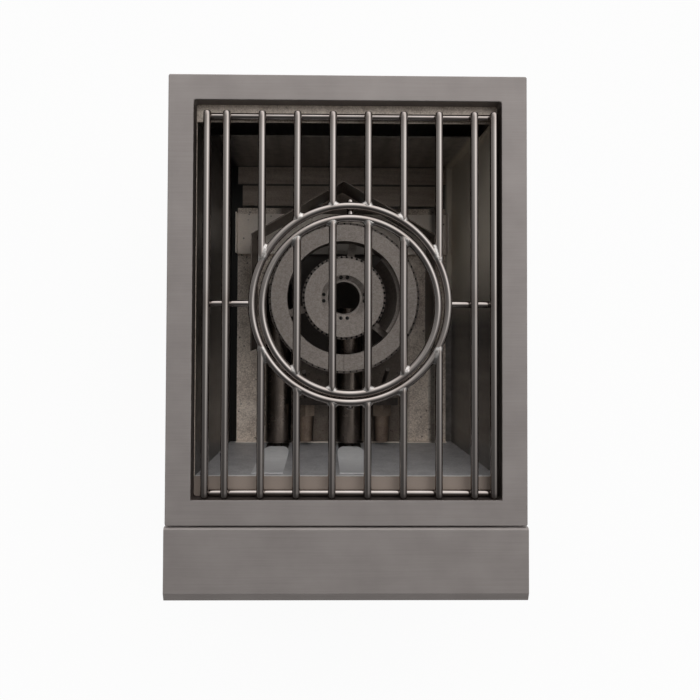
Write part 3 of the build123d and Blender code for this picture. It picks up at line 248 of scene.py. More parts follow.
class BurnerStage(bpy.types.PropertyGroup):
    """Camera, glows of the room and size of the floor"""
    camera_place: FloatVectorProperty(name="Camera", description="Place of the camera",
                                      subtype="TRANSLATION", default=(-24.3 * MM, 13.4 * MM, 905.1 * MM))
    camera_turn: FloatVectorProperty(name="Camera turn", description="Turn of the camera", subtype="EULER",
                                     default=tuple(math.radians(a) for a in (1.15, -0.69, 0.228)))
    lens: amount("Lens", "Focal length in millimetres", 32.76)
    shift: FloatVectorProperty(name="Shift", description="Camera shift", size=2, default=(0.0271, -0.0571))
    back_way: direction("Back glow", "Way to the broad glow over the back", (0.0, 0.82, 0.574))
    back_glow: amount("Back brightness", "Brightness of the glow over the back", 2.3)
    back_spread: angle("Back spread", "Width of the glow over the back", 33)
    side_way: direction("Side glow", "Way to the smaller glow on the right", (0.565, 0.28, 0.775))
    side_glow: amount("Side brightness", "Brightness of the glow on the right", 1.9)
    side_spread: angle("Side spread", "Width of the glow on the right", 24)
    left_way: direction("Left glow", "Way to the faint glow on the left", (-0.78, 0.3, 0.55))
    left_glow: amount("Left brightness", "Brightness of the glow on the left", 0.15)
    left_spread: angle("Left spread", "Width of the glow on the left", 28)
    room_glow: amount("Room", "Brightness of the rest of the room", 0.07)
    low_glow: amount("Low walls", "Brightness of the room's walls near the floor", 0.7)
    low_reach: amount("Low reach", "Height share at which the walls' brightness ends", 0.25)
    floor_size: length("Floor size", "Side of the floor", 8000)


# Materials

def add_node(tree, kind, inputs, **settings):
    """Add a node with its settings and inputs; a node given as an input means its first live output."""
    made = tree.nodes.new(kind)
    for key, value in settings.items():
        setattr(made, key, value)
    for key, value in inputs.items():
        if isinstance(value, bpy.types.Node):
            value = next(socket for socket in value.outputs if socket.enabled)
        if isinstance(value, bpy.types.NodeSocket):
            tree.links.new(value, made.inputs[key])
        else:
            made.inputs[key].default_value = value
    return made


def streaks(tree, place, sizes, detail, rough=0.5):
    """Give a noise drawn out to a size of its own along each axis, in millimetres."""
    drawn = add_node(tree, "ShaderNodeMapping", {"Vector": place, "Scale": [per_mm(size) for size in sizes]})
    return add_node(tree, "ShaderNodeTexNoise",
                    {"Vector": drawn, "Scale": 1.0, "Detail": detail, "Roughness": rough})


def mottle(tree, place, pattern, size, detail, dark, light, rough=0.5):
    """Add clouds, of a size in millimetres, to a pattern; give back the clouds and the mixed colour."""
    cloud = add_node(tree, "ShaderNodeTexNoise",
                     {"Vector": place, "Scale": per_mm(size), "Detail": detail, "Roughness": rough})
    both = add_node(tree, "ShaderNodeMath", {0: pattern, 1: cloud}, operation="ADD")
    shade = add_node(tree, "ShaderNodeMapRange", {"Value": both, "From Min": 0.7, "From Max": 1.3})
    return cloud, add_node(tree, "ShaderNodeMix", {0: shade, 6: dark, 7: light}, data_type="RGBA")


def stain(tree, tone, tint, value, start, end, most=1.0):
    """Tint a tone by a value: not at all where it is at its start, and most where it is at its end."""
    share = add_node(tree, "ShaderNodeMapRange",
                     {"Value": value, "From Min": start, "From Max": end, "To Max": most})
    return add_node(tree, "ShaderNodeMix", {0: share, 6: tone, 7: tint}, data_type="RGBA")


def off_line(tree, value, line):
    """Give how far a value lies to either side of a line."""
    past = add_node(tree, "ShaderNodeMath", {0: value, 1: line}, operation="SUBTRACT")
    return add_node(tree, "ShaderNodeMath", {0: past}, operation="ABSOLUTE")


def folded_sides(tree, flat):
    """Give the distances from the upright planes through the middle, the same in each quarter."""
    folded = add_node(tree, "ShaderNodeVectorMath", {0: flat}, operation="ABSOLUTE")
    return add_node(tree, "ShaderNodeSeparateXYZ", {0: folded}).outputs


def close_metal(tree, tone, metallic, rough, pattern, height, strength, depth):
    """End a material in a surface with that colour, metal share, range of roughness and bumps."""
    dull = add_node(tree, "ShaderNodeMapRange", {"Value": pattern, "To Min": rough[0], "To Max": rough[1]})
    bump = add_node(tree, "ShaderNodeBump", {"Height": height, "Strength": strength, "Distance": depth * MM})
    skin = add_node(tree, "ShaderNodeBsdfPrincipled",
                    {"Base Color": tone, "Metallic": metallic, "Roughness": dull, "Normal": bump})
    add_node(tree, "ShaderNodeOutputMaterial", {"Surface": skin})


def brushed_stainless(tree, place, look):
    """Stainless sheet brushed from left to right."""
    # the hairlines draw each reflection out into a soft upright band
    # real hairlines are about 0.1 mm wide; they are drawn 0.8 mm wide so that they show
    hairs = streaks(tree, place, (70, 0.8, 0.8), 4.0, 0.65)
    _, clean = mottle(tree, place, hairs, 38, 3.0, look.trim_dark, look.trim_light)
    # painted shade, in a heat-brown colour, darkens the frame's folded edge inside the well, least at the
    # back
    low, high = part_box("top_frame")
    well = (high - low) / 2 - Vector((TRIM_WIDTH, TRIM_WIDTH, 0))
    centred = add_node(tree, "ShaderNodeVectorMath", {0: place, 1: (low + high) / 2}, operation="SUBTRACT")
    folded = add_node(tree, "ShaderNodeVectorMath", {0: centred}, operation="ABSOLUTE")
    past = add_node(tree, "ShaderNodeVectorMath", {0: folded, 1: well}, operation="SUBTRACT")
    sides = add_node(tree, "ShaderNodeSeparateXYZ", {0: past}).outputs
    farthest = add_node(tree, "ShaderNodeMath", {0: sides[0], 1: sides[1]}, operation="MAXIMUM")
    inside = add_node(tree, "ShaderNodeMapRange",
                      {"Value": farthest, "From Min": 0.6 * MM, "From Max": 0.2 * MM, "To Max": 0.9})
    depth = add_node(tree, "ShaderNodeSeparateXYZ", {0: centred}).outputs[1]
    rear = add_node(tree, "ShaderNodeMapRange",
                    {"Value": depth, "From Min": well.y - 6 * MM, "From Max": well.y - 2 * MM,
                     "To Min": 1.0, "To Max": 0.4})
    share = add_node(tree, "ShaderNodeMath", {0: inside, 1: rear}, operation="MULTIPLY")
    tone = add_node(tree, "ShaderNodeMix", {0: share, 6: clean, 7: look.trim_fold_shade}, data_type="RGBA")
    close_metal(tree, tone, 0.75, (0.66, 0.76), hairs, hairs, 0.05, 0.1)


def mill_stainless(tree, place, look):
    """Cold-rolled stainless as it leaves the mill, on the casing, base, heat shield and clips."""
    # a dull even grey with faint clouds and upright rolling lines
    # real rolling lines are under 1 mm wide; they are drawn 2.5 mm wide so that they show
    lines = streaks(tree, place, (2.5, 2.5, 160), 3.0)
    cloud, tone = mottle(tree, place, lines, 45, 4.0, look.casing_dark, look.casing_light)
    close_metal(tree, tone, 0.5, (0.40, 0.56), cloud, lines, 0.08, 0.1)


def heat_dulled_stainless(tree, place, look):
    """Stainless liner sheet that heat and smoke have dulled, with painted light and shade on its walls."""
    # a dim mirror with soft upright bands; painted shade on the left wall and the front of the right wall,
    # painted light with a straw tint on the back of the right wall, and painted shade at the foot beside the
    # tray
    bands = streaks(tree, place, (14, 14, 150), 3.0)
    smoke_and_shade, clean = mottle(tree, place, bands, 9, 6.0, look.liner_dark, look.liner_light, 0.65)
    spot = add_node(tree, "ShaderNodeSeparateXYZ", {0: place}).outputs
    # the side walls lean, so each is told from the rear wall by its distance from the middle
    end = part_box("liner_rear")[1]
    inner = end.x - WALL_LEAN
    right = add_node(tree, "ShaderNodeMapRange",
                     {"Value": spot[0], "From Min": inner, "From Max": inner + WALL_FADE})
    left = add_node(tree, "ShaderNodeMapRange",
                    {"Value": spot[0], "From Min": -inner, "From Max": -inner - WALL_FADE, "To Max": 0.88})
    back = add_node(tree, "ShaderNodeMapRange",
                    {"Value": spot[1], "From Min": STRAW_AND_LIGHT_START, "From Max": STRAW_AND_LIGHT_END})
    # painted light with a straw tint falls on the back of the right wall, painted shade on its front and on
    # the left wall
    both = add_node(tree, "ShaderNodeMath", {0: right, 1: back}, operation="MULTIPLY")
    ahead = add_node(tree, "ShaderNodeMath", {0: right, 1: both}, operation="SUBTRACT")
    share = add_node(tree, "ShaderNodeMath", {0: ahead, 1: 0.55, 2: left}, operation="MULTIPLY_ADD")
    wall_shaded = add_node(tree, "ShaderNodeMix", {0: share, 6: clean, 7: look.smoke_and_shade}, data_type="RGBA")
    straw_and_light = add_node(tree, "ShaderNodeMix", {0: both, 6: wall_shaded, 7: look.straw_and_light}, data_type="RGBA")
    # painted shade blackens the foot of every wall but the right one
    low = add_node(tree, "ShaderNodeMapRange",
                   {"Value": spot[2], "From Min": WALL_FOOT + 10 * MM, "From Max": WALL_FOOT})
    foot = add_node(tree, "ShaderNodeMath", {0: low, 1: right}, operation="SUBTRACT")
    darkened = add_node(tree, "ShaderNodeMix", {0: foot, 6: straw_and_light, 7: look.soot_and_shade}, data_type="RGBA")
    # the rear ledge is a strip of the same speckled beige as the tray
    _, beige = mottle(tree, place, smoke_and_shade, 1.6, 3.0, look.tray_dark, look.tray_light)
    ledge = add_node(tree, "ShaderNodeMapRange",
                     {"Value": spot[2], "From Min": end.z - 2 * MM, "From Max": end.z - 1 * MM})
    tone = add_node(tree, "ShaderNodeMix", {0: ledge, 6: darkened, 7: beige}, data_type="RGBA")
    dulled = add_node(tree, "ShaderNodeMath", {0: ledge, 1: both}, operation="MAXIMUM")
    metal = add_node(tree, "ShaderNodeMapRange", {"Value": dulled, "To Min": 0.5, "To Max": 0.05})
    close_metal(tree, tone, metal, (0.24, 0.42), smoke_and_shade, smoke_and_shade, 0.06, 0.2)


def matt_stainless(tree, place, look):
    """Stainless front wall, left with a matt grey bloom."""
    # cool mottled grey below a painted highlight along the top edge, and a warmer ledge
    bloom = add_node(tree, "ShaderNodeTexNoise",
                     {"Vector": place, "Scale": per_mm(18), "Detail": 3.0, "Roughness": 0.55})
    fine, clean = mottle(tree, place, bloom, 2, 3.0, look.matt_dark, look.matt_light)
    height = add_node(tree, "ShaderNodeSeparateXYZ", {0: place}).outputs[2]
    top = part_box("liner_front")[1].z
    # a painted highlight along the top edge
    highlit = stain(tree, clean, look.matt_highlight, height, top - 4.6 * MM, top - 3.6 * MM)
    tone = stain(tree, highlit, look.matt_ledge, height, top - 0.5 * MM, top - 0.2 * MM)
    close_metal(tree, tone, 0.3, (0.45, 0.62), bloom, fine, 0.06, 0.1)


def aluminised_steel(tree, place, look):
    """Hot-dip aluminised steel on the tray and bracket."""
    # warm matt beige with fine spangle and burnt specks; painted light on the raised bracket, painted shade
    # on the floor beneath the burner and between its tubes, and painted shadow round the burner and in a
    # band along the right side
    grain = add_node(tree, "ShaderNodeTexNoise",
                     {"Vector": place, "Scale": per_mm(1.6), "Detail": 3.0, "Roughness": 0.7})
    spangle = add_node(tree, "ShaderNodeMapRange", {"Value": grain, "From Min": 0.25, "From Max": 0.75})
    _, clean = mottle(tree, place, spangle, 16, 5.0, look.tray_dark, look.tray_light)
    spot = add_node(tree, "ShaderNodeSeparateXYZ", {0: place}).outputs
    # painted light on the raised bracket
    bright = stain(tree, clean, look.tray_lit, spot[2], TRAY_FLOOR, BRACKET_FOOT, 0.8)
    cells = add_node(tree, "ShaderNodeTexVoronoi", {"Vector": place, "Scale": per_mm(10)})
    specked = stain(tree, bright, look.tray_speck, cells, 0.15, 0.07, 0.85)
    # painted shade on the floor beneath the burner, between its tubes
    aside = add_node(tree, "ShaderNodeMath", {0: spot[0]}, operation="ABSOLUTE")
    under = add_node(tree, "ShaderNodeMapRange",
                     {"Value": aside, "From Min": SHADE_HALF + 12 * MM, "From Max": SHADE_HALF})
    floor = add_node(tree, "ShaderNodeMapRange",
                     {"Value": spot[2], "From Min": BRACKET_FOOT, "From Max": TRAY_FLOOR, "To Max": 0.85})
    share = add_node(tree, "ShaderNodeMath", {0: under, 1: floor}, operation="MULTIPLY")
    shaded = add_node(tree, "ShaderNodeMix", {0: share, 6: specked, 7: look.tray_shade}, data_type="RGBA")
    # a painted shadow round the burner
    low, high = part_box("outer_burner_lid")
    flat = add_node(tree, "ShaderNodeVectorMath", {0: place, 1: IN_PLAN}, operation="MULTIPLY")
    away = add_node(tree, "ShaderNodeVectorMath",
                    {0: flat, 1: ((low.x + high.x) / 2, (low.y + high.y) / 2, 0)}, operation="DISTANCE")
    near = add_node(tree, "ShaderNodeMapRange",
                    {"Value": away, "From Min": SHADOW_RADIUS + 20 * MM, "From Max": SHADOW_RADIUS,
                     "To Max": 0.7})
    # a painted shadow lies in a band along the right side
    off = off_line(tree, spot[0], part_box("burner_tray")[1].x - SHADOW_INSET)
    band = add_node(tree, "ShaderNodeMapRange",
                    {"Value": off, "From Min": 7 * MM, "From Max": 2 * MM, "To Max": 0.8})
    black = add_node(tree, "ShaderNodeMath", {0: near, 1: band}, operation="MAXIMUM")
    tone = add_node(tree, "ShaderNodeMix", {0: black, 6: shaded, 7: look.soot_and_shade}, data_type="RGBA")
    close_metal(tree, tone, 0.05, (0.45, 0.70), grain, grain, 0.15, 0.2)


def polished_stainless_rod(tree, place, look):
    """Polished stainless rod, tinted brown beside its welds."""
    # narrow bright streaks along each rod, broken by fine polishing marks and dull heat-tinted ends
    # real polishing marks are about 0.1 mm wide; they are drawn 1.2 mm wide so that they show
    scuffs = add_node(tree, "ShaderNodeTexNoise",
                      {"Vector": place, "Scale": per_mm(1.2), "Detail": 3.0, "Roughness": 0.6})
    cloud = add_node(tree, "ShaderNodeTexNoise", {"Vector": place, "Scale": per_mm(14), "Detail": 4.0})
    heat = add_node(tree, "ShaderNodeAttribute", {}, attribute_name="weld_heat").outputs["Fac"]
    tint = add_node(tree, "ShaderNodeMath", {0: heat, 1: cloud}, operation="MULTIPLY")
    tone = add_node(tree, "ShaderNodeMix", {0: tint, 6: look.rod_bright, 7: look.rod_heat}, data_type="RGBA")
    close_metal(tree, tone, 1.0, (0.07, 0.13), cloud, scuffs, 0.03, 0.1)


def weld_metal(tree, place, look):
    """Welds left as laid, lightly polished."""
    # bright metal with brown heat colour in its hollows
    lumps = add_node(tree, "ShaderNodeTexNoise",
                     {"Vector": place, "Scale": per_mm(2.2), "Detail": 4.0, "Roughness": 0.6})
    tone = stain(tree, look.weld_bright, look.rod_heat, lumps, 0.54, 0.34, 0.6)
    close_metal(tree, tone, 1.0, (0.30, 0.14), lumps, lumps, 0.15, 0.2)


def port_dots(tree, near, radius, count, reach):
    """Give a mask of dots in a ring, one on each gas port, for soot and painted shade."""
    spot = add_node(tree, "ShaderNodeSeparateXYZ", {0: near}).outputs
    turn = add_node(tree, "ShaderNodeMath", {0: spot[1], 1: spot[0]}, operation="ARCTAN2")
    share = add_node(tree, "ShaderNodeMath", {0: turn, 1: count / (2 * math.pi), 2: 0.5},
                     operation="MULTIPLY_ADD")
    part = add_node(tree, "ShaderNodeMath", {0: share}, operation="FRACT")
    pitch = 2 * math.pi * radius / count
    around = add_node(tree, "ShaderNodeMath", {0: part, 1: pitch, 2: -pitch / 2}, operation="MULTIPLY_ADD")
    away = add_node(tree, "ShaderNodeVectorMath", {0: near}, operation="LENGTH")
    past = add_node(tree, "ShaderNodeMath", {0: away, 1: radius}, operation="SUBTRACT")
    both = add_node(tree, "ShaderNodeCombineXYZ", {0: around, 1: past})
    far = add_node(tree, "ShaderNodeVectorMath", {0: both}, operation="LENGTH")
    return add_node(tree, "ShaderNodeMapRange", {"Value": far, "From Min": reach, "From Max": 0.7 * reach})


def blasted_casting(tree, place, look):
    """Cast burner metal, bead blasted after fettling."""
    # a matt warm grey with a sandy grain, black with soot and painted shade at every gas port and in the
    # middle bore
    # a real blasted grain is about 0.3 mm wide; it is drawn 1.4 mm wide so that it shows
    ports = bpy.context.scene.burner_ports
    grain = add_node(tree, "ShaderNodeTexNoise",
                     {"Vector": place, "Scale": per_mm(1.4), "Detail": 2.0, "Roughness": 0.7})
    sand = add_node(tree, "ShaderNodeMapRange", {"Value": grain, "From Min": 0.2, "From Max": 0.8})
    _, clean = mottle(tree, place, sand, 3, 2.0, look.cast_dark, look.cast_light)
    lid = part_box("outer_burner_lid")
    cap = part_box("inner_burner_cap")
    middle = (lid[0] + lid[1]) / 2
    centred = add_node(tree, "ShaderNodeVectorMath", {0: place, 1: middle}, operation="SUBTRACT")
    near = add_node(tree, "ShaderNodeVectorMath", {0: centred, 1: IN_PLAN}, operation="MULTIPLY")
    wide = (lid[1].x - lid[0].x - ports.rim) / 2
    small = (cap[1].x - cap[0].x - ports.rim) / 2
    outer = port_dots(tree, near, wide, ports.outer_count, 0.7 * ports.reach)
    inner = port_dots(tree, near, small, ports.inner_count, ports.reach)
    rims = add_node(tree, "ShaderNodeMath", {0: outer, 1: inner}, operation="MAXIMUM")
    # the ports in the dish stand in four pairs, so one pair folded over the axes serves for all
    sides = folded_sides(tree, near)
    short = add_node(tree, "ShaderNodeMath", {0: sides[0], 1: sides[1]}, operation="MINIMUM")
    long = add_node(tree, "ShaderNodeMath", {0: sides[0], 1: sides[1]}, operation="MAXIMUM")
    corner = add_node(tree, "ShaderNodeCombineXYZ", {0: short, 1: long})
    far = add_node(tree, "ShaderNodeVectorMath",
                   {0: corner, 1: (ports.pair_gap / 2, ports.pair_radius, 0)}, operation="DISTANCE")
    pairs = add_node(tree, "ShaderNodeMapRange",
                     {"Value": far, "From Min": 1.5 * ports.reach, "From Max": 1.1 * ports.reach})
    dots = add_node(tree, "ShaderNodeMath", {0: rims, 1: pairs}, operation="MAXIMUM")
    away = add_node(tree, "ShaderNodeVectorMath", {0: near}, operation="LENGTH")
    bore = add_node(tree, "ShaderNodeMapRange",
                    {"Value": away, "From Min": ports.bore + 2 * MM, "From Max": ports.bore - 1 * MM,
                     "To Max": 0.8})
    darkened = add_node(tree, "ShaderNodeMath", {0: dots, 1: bore}, operation="MAXIMUM")
    tone = add_node(tree, "ShaderNodeMix", {0: darkened, 6: clean, 7: look.soot_and_shade}, data_type="RGBA")
    metal = add_node(tree, "ShaderNodeMapRange", {"Value": darkened, "To Min": 0.85, "To Max": 0.0})
    close_metal(tree, tone, metal, (0.48, 0.70), grain, grain, 0.45, 0.3)


def browned_sheet(tree, place, look):
    """Steel louvres browned by heat."""
    # dull brown bands from left to right, with a line of painted shade where one slat laps the next
    bands = streaks(tree, place, (60, 5, 5), 3.0)
    grain, clean = mottle(tree, place, bands, 1.6, 3.0, look.brown_dark, look.brown_light)
    lap = max(solids_of("rear_louvres"), key=lambda box: box[1].y)[0].y
    depth = add_node(tree, "ShaderNodeSeparateXYZ", {0: place}).outputs[1]
    tone = stain(tree, clean, look.soot_and_shade, off_line(tree, depth, lap), 1.6 * MM, 0.6 * MM, 0.8)
    close_metal(tree, tone, 0.3, (0.45, 0.62), grain, grain, 0.10, 0.15)


def bright_annealed_cover(tree, place, look):
    """Bright-annealed stainless of the slot covers."""
    # smooth and pale, with a few scuffs, and with the front wall's grey bloom towards the top
    scuffs = add_node(tree, "ShaderNodeTexNoise",
                      {"Vector": place, "Scale": per_mm(9), "Detail": 4.0, "Roughness": 0.6})
    cloud, clean = mottle(tree, place, scuffs, 12, 4.0, look.cover_dark, look.cover_light)
    height = add_node(tree, "ShaderNodeSeparateXYZ", {0: place}).outputs[2]
    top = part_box("slot_covers")[1].z
    tone = stain(tree, clean, look.matt_dark, height, top - 70 * MM, top - 4 * MM, 0.75)
    close_metal(tree, tone, 0.05, (0.35, 0.50), cloud, scuffs, 0.15, 0.05)


def streaked_metal(tree, place, tones, sizes, metallic, rough, depth, flank_shade=None):
    """Draw marks that are so wide and so long along the burner's depth; a flank colour paints shade on steep
    faces.
    """
    wide, long = sizes
    marks = streaks(tree, place, (wide, long, wide), 4.0, 0.6)
    cloud, tone = mottle(tree, place, marks, 12, 4.0, *tones)
    if flank_shade is not None:
        facing = add_node(tree, "ShaderNodeTexCoord", {}).outputs["Normal"]
        upward = add_node(tree, "ShaderNodeSeparateXYZ", {0: facing}).outputs[2]
        # painted shade on the steep faces
        tone = stain(tree, tone, flank_shade, upward, 0.92, 0.45, 0.9)
    close_metal(tree, tone, metallic, rough, cloud, marks, 0.15, depth)


def drawn_steel_tube(tree, place, look):
    """Cold-drawn steel tube of the mixing tubes and shutters."""
    # brown streaks run along the tube, whose flanks carry painted shade
    tones = (look.tube_dark, look.tube_light)
    streaked_metal(tree, place, tones, (5, 140), 0.95, (0.20, 0.32), 0.05, look.soot_and_shade)


def heat_tinted_sheet(tree, place, look):
    """Thin stainless sheet that the flame has tinted."""
    # grey going brown in cloudy patches
    streaked_metal(tree, place, (look.tint_dark, look.tint_light), (5, 30), 0.85, (0.34, 0.55), 0.15)


def plated_fitting(tree, place, look):
    """Nickel-plated steel of the igniter bushings."""
    # a soft shine speckled brown by heat, with painted shade on the flanks
    tones = (look.plated_dark, look.plated_light)
    streaked_metal(tree, place, tones, (1.6, 1.6), 0.6, (0.32, 0.52), 0.15, look.soot_and_shade)


def glazed_ceramic(tree, place, look):
    """Glazed ceramic of the igniter boots."""
    # tan with a brown speckle under a dull glaze, with painted shade on the flanks
    tones = (look.boot_dark, look.boot_light)
    streaked_metal(tree, place, tones, (1.8, 1.8), 0.0, (0.30, 0.50), 0.10, look.soot_and_shade)


def burnt_metal(tree, place, look):
    """Small metal parts that the flame has burnt: igniter bracket, electrodes and orifices."""
    # nearly black, brown where the light catches it
    streaked_metal(tree, place, (look.burnt_dark, look.burnt_light), (2, 8), 0.6, (0.40, 0.60), 0.10)


def turned_brass(tree, place, look):
    """Turned brass of the valves and the inlet."""
    # yellow metal with tool marks
    # real tool marks are about 0.2 mm apart; they are drawn 0.9 mm apart so that they show
    streaked_metal(tree, place, (look.brass_dark, look.brass_light), (12, 0.9), 1.0, (0.25, 0.42), 0.10)


def galvanised_pipe(tree, place, look):
    """Galvanised steel of the gas manifold."""
    # a cool dull grey with a coarse spangle
    streaked_metal(tree, place, (look.pipe_dark, look.pipe_light), (5, 5), 0.85, (0.38, 0.60), 0.15)


def satin_die_casting(tree, place, look):
    """Satin-plated zinc die casting of the knobs and bezels."""
    # turning lines across a soft silver
    # real turning lines are about 0.1 mm apart; they are drawn 0.9 mm apart so that they show
    streaked_metal(tree, place, (look.knob_dark, look.knob_light), (20, 0.9), 1.0, (0.26, 0.38), 0.08)


def moulded_black_plastic(tree, place, look):
    """Black heat-resistant plastic with a moulded grain."""
    # nearly black, with a faint sheen broken by a grain
    # a real moulded grain is about 0.3 mm wide; it is drawn 0.9 mm wide so that it shows
    tones = (look.plastic_dark, look.plastic_light)
    streaked_metal(tree, place, tones, (0.9, 0.9), 0.0, (0.38, 0.55), 0.20)


def zinc_plated_steel(tree, place, look):
    """Zinc-plated steel of the screws, rivets, stems and collars."""
    # pale with a faint warm cast and small scuffs
    streaked_metal(tree, place, (look.zinc_dark, look.zinc_light), (2.5, 2.5), 1.0, (0.28, 0.45), 0.10)


def pale_floor(tree, place, look):
    """Matt pale paint of the studio floor."""
    # looks white, and keeps the burner's shadow
    speckle = add_node(tree, "ShaderNodeTexNoise", {"Vector": place, "Scale": per_mm(6), "Detail": 2.0})
    rough = add_node(tree, "ShaderNodeMapRange", {"Value": speckle, "To Min": 0.85, "To Max": 0.95})
    matt = add_node(tree, "ShaderNodeBsdfPrincipled", {"Base Color": look.floor, "Roughness": rough})
    white = add_node(tree, "ShaderNodeEmission", {"Color": linear("#FFFFFF"), "Strength": 1.0})
    path = add_node(tree, "ShaderNodeLightPath", {}).outputs
    seen = add_node(tree, "ShaderNodeMath",
                    {0: path["Is Camera Ray"], 1: path["Is Glossy Ray"]}, operation="MAXIMUM")
    shown = add_node(tree, "ShaderNodeMath", {0: seen, 1: path["Is Transmission Ray"]}, operation="MAXIMUM")
    share = add_node(tree, "ShaderNodeMath", {0: shown, 1: look.floor_white}, operation="MULTIPLY")
    both = add_node(tree, "ShaderNodeMixShader", {0: share, 1: matt, 2: white})
    add_node(tree, "ShaderNodeOutputMaterial", {"Surface": both})


FINISHES = {
    "brushed_trim": brushed_stainless,
    "casing_sheet": mill_stainless,
    "liner_sheet": heat_dulled_stainless,
    "tray_sheet": aluminised_steel,
    "polished_rod": polished_stainless_rod,
    "burner_casting": blasted_casting,
    "tube_steel": drawn_steel_tube,
    "tinted_sheet": heat_tinted_sheet,
    "cover_sheet": bright_annealed_cover,
    "igniter_metal": plated_fitting,
    "boot_ceramic": glazed_ceramic,
    "brass": turned_brass,
    "pipe_steel": galvanised_pipe,
    "knob_metal": satin_die_casting,
    "black_plastic": moulded_black_plastic,
    "fastener_steel": zinc_plated_steel,
}
NODE_FINISHES = {
    "liner_front": matt_stainless,
    "rear_louvres": browned_sheet,
    "igniter_bracket": burnt_metal,
    "spark_electrodes": burnt_metal,
    "outer_orifice": burnt_metal,
    "inner_orifice": burnt_metal,
}
made_finishes = {}


def finish_of(maker):
    """Give the material that a function makes, made once and named after it."""
    if maker not in made_finishes:
        material = bpy.data.materials.new(maker.__name__)
        material.use_nodes = True
        tree = material.node_tree
        tree.nodes.clear()
        place = add_node(tree, "ShaderNodeTexCoord", {}).outputs["Object"]
        maker(tree, place, bpy.context.scene.burner_finishes)
        made_finishes[maker] = material
    return made_finishes[maker]


def dress(*names):
    """Give CAD nodes the finish of their slots, or a finish of their own."""
    for name in names:
        node = frame["nodes"][name]
        node.data.materials.clear()
        node.data.materials.append(finish_of(NODE_FINISHES.get(name, FINISHES[SLOT_OF[name]])))


# Pieces

def solids_of(name):
    """Give the lowest and highest corner of each separate solid in a CAD node."""
    work = bmesh.new()
    work.from_mesh(frame["nodes"][name].data)
    bmesh.ops.remove_doubles(work, verts=work.verts, dist=MERGE_DISTANCE)
    left = set(work.verts)
    boxes = []
    while left:
        front = [left.pop()]
        island = list(front)
        while front:
            near = {edge.other_vert(vert) for vert in front for edge in vert.link_edges} & left
            left -= near
            island.extend(near)
            front = list(near)
        corners = [[pick(vert.co[axis] for vert in island) for axis in range(3)] for pick in (min, max)]
        boxes.append((Vector(corners[0]), Vector(corners[1])))
    work.free()
    return sorted(boxes, key=lambda pair: tuple(pair[0]))


def skin(work, loops):
    """Join each loop of vertices to the next by a band of faces."""
    for first, second in zip(loops, loops[1:]):
        for k in range(len(first)):
            work.faces.new((first[k], first[k - 1], second[k - 1], second[k]))


def close_mesh(work, name):
    """Turn a built shape into a mesh whose faces point outwards."""
    bmesh.ops.recalc_face_normals(work, faces=work.faces)
    mesh = bpy.data.meshes.new(name)
    work.to_mesh(mesh)
    work.free()
    return mesh


def keep_piece(name, mesh, body, nodes=()):
    """Put a finished mesh in the scene, on its body, in place of the nodes that it stands for."""
    piece = bpy.data.objects.new(name, mesh)
    bpy.context.scene.collection.objects.link(piece)
    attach(piece, body)
    if nodes:
        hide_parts(*nodes)


def add_cover(work, low, high):
    """Add a sheet plate with square upper corners and long rounded lower ones."""
    covers = bpy.context.scene.burner_covers
    arc = [math.radians(a) for a in range(0, 91, 9)]
    wide, tall = covers.corner_width, covers.corner_height
    left = [(low.x + wide * (1 - math.cos(a)), low.z + tall * (1 - math.sin(a))) for a in arc]
    right = [(low.x + high.x - x, z) for x, z in reversed(left)]
    outline = [(low.x, high.z)] + left + right + [(high.x, high.z)]
    rims = [[work.verts.new((x, y, z)) for x, z in outline] for y in (low.y, high.y)]
    faces = [work.faces.new(rim) for rim in rims]
    skin(work, rims)
    bmesh.ops.bevel(work, geom=list(faces[1].edges), offset=covers.edge, segments=3, profile=0.5,
                    affect="EDGES")


# Round rods

def ring_shape(name):
    """Give a bent ring's centre, bend radius and rod radius."""
    low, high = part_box(name)
    rod = (high.z - low.z) / 2
    return (low + high) / 2, (high.x - low.x) / 2 - rod, rod


def add_loops(work, stations):
    """Add a loop of vertices round each station: its centre, radius, and two directions across the rod."""
    sides = bpy.context.scene.burner_rods.sides
    turns = [2 * math.pi * k / sides for k in range(sides)]
    return [[work.verts.new(centre + radius * (math.cos(t) * across + math.sin(t) * up)) for t in turns]
            for centre, radius, across, up in stations]


def add_rod(work, start, end, radius):
    """Add a straight rod with rounded ends."""
    rods = bpy.context.scene.burner_rods
    along = end - start
    reach = along.length
    along.normalize()
    across = along.cross(UP).normalized()
    rounding = min(rods.end_round, radius * 0.9)
    arc = [math.radians(a) for a in (0, 30, 60, 90)]
    ends = [(rounding * (1 - math.cos(a)), radius - rounding + rounding * math.sin(a)) for a in arc]
    straight = reach - 2 * rounding
    count = max(2, round(straight / rods.step))
    middle = [(rounding + straight * k / count, radius) for k in range(1, count)]
    runs = ends + middle + [(reach - run, wide) for run, wide in reversed(ends)]
    loops = add_loops(work, [(start + along * run, wide, across, UP) for run, wide in runs])
    skin(work, loops)
    work.faces.new(loops[0])
    work.faces.new(reversed(loops[-1]))


def add_ring(work, centre, bend, radius):
    """Add a rod bent into a ring and welded to itself."""
    steps = bpy.context.scene.burner_rods.ring_steps
    stations = []
    for k in range(steps):
        turn = 2 * math.pi * k / steps
        out = Vector((math.cos(turn), math.sin(turn), 0))
        stations.append((centre + bend * out, radius, out, UP))
    loops = add_loops(work, stations)
    skin(work, loops + loops[:1])


